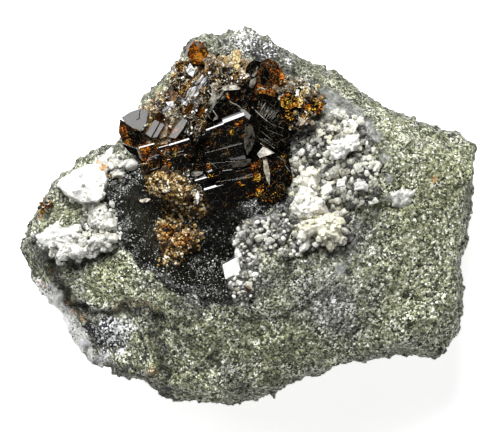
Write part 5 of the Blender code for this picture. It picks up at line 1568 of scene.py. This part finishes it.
# plan square, reach, and the tone, amber, and pale cover of the small crystals there, partly a powdery coat
# and partly painted sheen
drusePalette = (
    (218, 74, 11, 0.34, 1.0, 0.00), (226, 60, 8, 0.84, 1.0, 0.55), (212, 60, 6, 0.64, 0.9, 0.3),
    (238, 66, 6, 0.80, 1.1, 0.4), (246, 72, 6, 0.80, 1.1, 0.2), (172, 115, 7, 0.60, 0.2, 0.15),
    (193, 90, 9, 0.42, 0.5, 0.05), (166, 97, 7, 0.46, 0.9, 0.1), (201, 114, 7, 0.36, 1.0, 0.0),
    (149, 116, 6, 0.54, 0.75, 0.25), (180, 84, 8, 0.42, 0.85, 0.0), (184, 104, 8, 0.36, 0.7, 0.0),
    (190, 122, 8, 0.28, 0.9, 0.0), (206, 84, 8, 0.34, 0.95, 0.0), (234, 80, 8, 0.30, 1.0, 0.0),
    (160, 118, 7, 0.30, 0.9, 0.0), (192, 76, 6, 0.30, 0.9, 0.0), (178, 70, 6, 0.30, 0.9, 0.0),
    (192, 180, 8, 0.46, 0.1, 0.0), (198, 198, 6, 0.75, 0.3, 0.3), (282, 100, 10, 0.52, 1.0, 0.0),
    (308, 101, 8, 0.42, 1.0, 0.0), (286, 86, 6, 0.55, 0.6, 0.3), (306, 90, 8, 0.45, 0.3, 0.3),
    (297, 116, 8, 0.30, 0.7, 0.0), (305, 126, 6, 0.42, 0.9, 0.0), (281, 118, 7, 0.15, 0.9, 0.0),
    (296, 106, 6, 0.20, 0.9, 0.0), (318, 112, 6, 0.15, 0.7, 0.0),
)


def paletteAt(place):
    u = (place.x - planMiddle[0]) * squaresPerMm / mm + sheetWide / 2
    v = sheetTall / 2 - (place.y - planMiddle[1]) * squaresPerMm / mm
    shares = [(math.exp(-((u - pu) ** 2 + (v - pv) ** 2) / reach ** 2), values)
              for pu, pv, reach, *values in drusePalette]
    whole = sum(share for share, _ in shares) + 1e-9
    return [sum(share * values[k] for share, values in shares) / whole for k in range(3)]


plateOutlines = [planLine(outline, 27).tolist() for outline, *_ in druse["plates"]]
bm = newGrainMesh("tone", "amber", "dust")
rng = random.Random(81)
for part, gap, seed, spread in (
    ("left", (0.8, 1.1), 97, -0.12), ("left", (1.2, 2.0), 90, 0.16), ("left", (0.8, 1.3), 91, 0.24),
    ("left", (0.5, 0.9), 92, 0.32), ("cream", (0.4, 0.8), 94, 0.20), ("amber", (0.8, 1.1), 98, -0.12),
    ("amber", (0.8, 1.4), 93, 0.26), ("amber", (0.5, 0.9), 96, 0.32), ("sugar", (0.3, 0.6), 95, 0.42),
    ("sparkle", (0.3, 0.5), 99, 0.5),
):
    for hit, normal, apart in strewn(planLine(druse[part], 27), gap, seed, druseGround, 14000):
        # they lie mostly along one direction, up and to the right
        lean = Vector((0.45 + rng.gauss(0, 0.4), 0.75 + rng.gauss(0, 0.4), rng.gauss(0.1, 0.35)))
        axis = (normal * 0.5 + lean).normalized()
        width = apart * rng.uniform(0.6, 1.1)
        onPlate = any(inOutline(hit.x, hit.y, outline) for outline in plateOutlines)
        if onPlate and (spread < 0 or width > 0.6 * mm or rng.random() < 0.8):
            continue
        place = hit + normal * width * (0.25 if spread > 0 else -0.2)
        verts = smallPrism(bm, place, axis, width * rng.uniform(1.3, 2.6), width, rng.uniform(0, math.pi),
                           rng.uniform(0.1, 0.6))
        tone, amber, dust = (value + rng.gauss(0, abs(spread) * share) for value, share in zip(
            paletteAt(hit), (1.0, 1.0, 0.25)))
        if spread < 0:
            tone, dust = rng.uniform(0, 0.28), 0
        # painted glints: one small crystal in twenty painted near white
        elif rng.random() < 0.05:
            tone, amber, dust = 0.9, 0.0, 0.5
        paint(bm, verts, tone=unitPart(tone), amber=unitPart(amber), dust=unitPart(dust))
plates = newGrainMesh("tone", "amber", "dust")
for outline, facing, tone, amber, dust in druse["plates"]:
    middle = [sum(c) / len(outline) for c in zip(*outline)]
    hit, _ = dropOn(druseGround, plan(*middle, 27))
    blockUnder(plates, outline, hit.z / mm + 0.9, facing, 2.4, 1.0, tone=tone, amber=amber, dust=dust)
plates = refined(objectOf("plates", plates), 1.0)
stepGround = treeOf(plates)
steps = newGrainMesh("tone", "amber", "dust")
for u0, v0, u1, v1, count, reach in druse["steps"]:
    for _ in range(count):
        share = rng.random()
        u, v = u0 + (u1 - u0) * share + rng.uniform(-1, 1), v0 + (v1 - v0) * share + rng.uniform(-1, 1)
        long = reach * rng.uniform(0.4, 0.8)
        ends = (u - long * 0.55, v + long, u + long * 0.55, v - long)
        glintOn(steps, stepGround, (*ends, rng.uniform(0.4, 0.9), rng.choice((keyFacing, flatFacing)),
                                    rng.uniform(0.5, 1.2)))
steps = objectOf("steps", steps)
drusePiece = refined(objectOf("druse", bm), 1.2)
for piece in (drusePiece, mainPiece, glintPiece, plates, steps):
    for material in (darkCrystal, druseCrystal, plateCrystal):
        piece.data.materials.append(material)
for piece, index in ((drusePiece, 1), (plates, 2)):
    for polygon in piece.data.polygons:
        # the plates on the right look like the main crystals
        polygon.material_index = 0 if index == 2 and polygon.center.x > 3.2 * mm else index
vesuvianite = joinedAs("vesuvianite_crystal_group", [mainPiece, glintPiece, drusePiece, plates, steps])
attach(vesuvianite, "root")
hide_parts("vesuvianite_crystals")
print("vesuvianite", len(vesuvianite.data.polygons))

# The amber crystals apart from the group, at the top corner and on the left edge

topCrystal = (
    # outline in plan squares, height, facing, thickness, spread of the sides, painted values
    (((187, 55), (190, 46), (195, 40.5), (200, 42), (205, 48), (208, 56), (205, 63), (199, 65), (192, 63)),
     24.9, (-0.06, -0.03, 1.0), 4.0, 1.12, {"tone": 0.4, "amber": 1.0}),
    (((184, 56), (187, 47), (193, 39), (195, 40), (190, 47), (187.5, 57)), 24.3, (-0.35, 0.1, 0.93), 3.6, 1.0,
     {"tone": 0.05, "amber": 0.6}),
    (((199, 41), (203, 43), (210, 55), (206, 56)), 24.5, (0.25, 0.1, 0.96), 3.6, 1.0,
     {"tone": 0.2, "amber": 0.7}),
    (((190, 61), (196, 60), (206, 62), (206, 67), (194, 69)), 23.8, (0.0, -0.2, 0.98), 3.2, 1.1,
     {"tone": 0.0, "amber": 0.4}),
    (((181, 66), (186, 60), (190, 64), (187, 70)), 22.6, (-0.1, -0.1, 0.98), 2.6, 1.1,
     {"tone": 0.2, "amber": 0.9}),
    (((194, 43), (197, 41), (203, 47), (201, 49)), 25.1, (-0.1, 0.1, 0.98), 1.0, 1.0,
     {"tone": 0.5, "dust": 0.5}),
)
bm = newGrainMesh("tone", "amber", "dust")
for outline, height, facing, thick, spread, values in topCrystal:
    blockUnder(bm, outline, height, facing, thick, spread, **values)
topPiece = refined(objectOf("top_amber_crystal", bm), 0.5)
# painted glow: amber light painted into the crystal, strongest at its middle
zonePaint(topPiece, "amber", ((198, 57, 7, 1.5), (196, 52, 6, 1.3), (188, 55, 4, 0.6), (200, 46, 4, 0.9),
                              (192, 46, 4, 0.9)), soft=0.2)
zonePaint(topPiece, "red", ((197, 54, 20, 0.12), (198, 60, 6, 0.25)), soft=0.6)
topPiece.data.materials.append(amberCrystal)
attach(topPiece, "root")
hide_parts("top_crystal")

bm = newGrainMesh("tone", "amber", "dust")
rng = random.Random(99)
edgeOutline = planLine(((39, 206), (43, 199), (49, 195), (53, 199), (51, 207), (46, 212), (41, 212)), 20)
edgeGround = treeOf(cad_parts["edge_crystals"], rock)
for hit, normal, apart in strewn(edgeOutline, (0.55, 1.0), 98, edgeGround, 4000):
    axis = (normal + Vector((rng.gauss(-0.3, 0.4), rng.gauss(0, 0.4), 0.3))).normalized()
    width = apart * rng.uniform(0.7, 1.2)
    verts = smallPrism(bm, hit, axis, width * rng.uniform(1.2, 2.0), width, rng.uniform(0, math.pi), 0.4)
    paint(bm, verts, tone=unitPart(rng.gauss(0.35, 0.25)), amber=unitPart(rng.gauss(0.7, 0.3)), dust=0.0)
edgePiece = smoothShaded(objectOf("edge_amber_crystals", bm), False)
edgePiece.data.materials.append(amberCrystal)
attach(edgePiece, "root")
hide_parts("edge_crystals")

# A broken grey calcite grain, set in the rock on the right

greyGrain = sheetOver("grey_calcite_grain_piece", planLine(
    ((389, 196), (395, 190), (408, 188), (414, 193), (411, 203), (403, 208), (393, 208)), 28), treeOf(rock), {
    "thick": 0.45, "steps": 0.16, "tilt": 0.3, "block": (1.4, 1.1), "turn": 20, "seed": 51, "ragged": 0.5,
    "rim": 0.6, "voxel": 0.16,
})
setAttributes(greyGrain, tone=0.55, cream=0, stain=0)
greyGrain.data.materials.append(greyCalcite)
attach(greyGrain, "root")
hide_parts("grey_calcite_grain")
print("small pieces done")
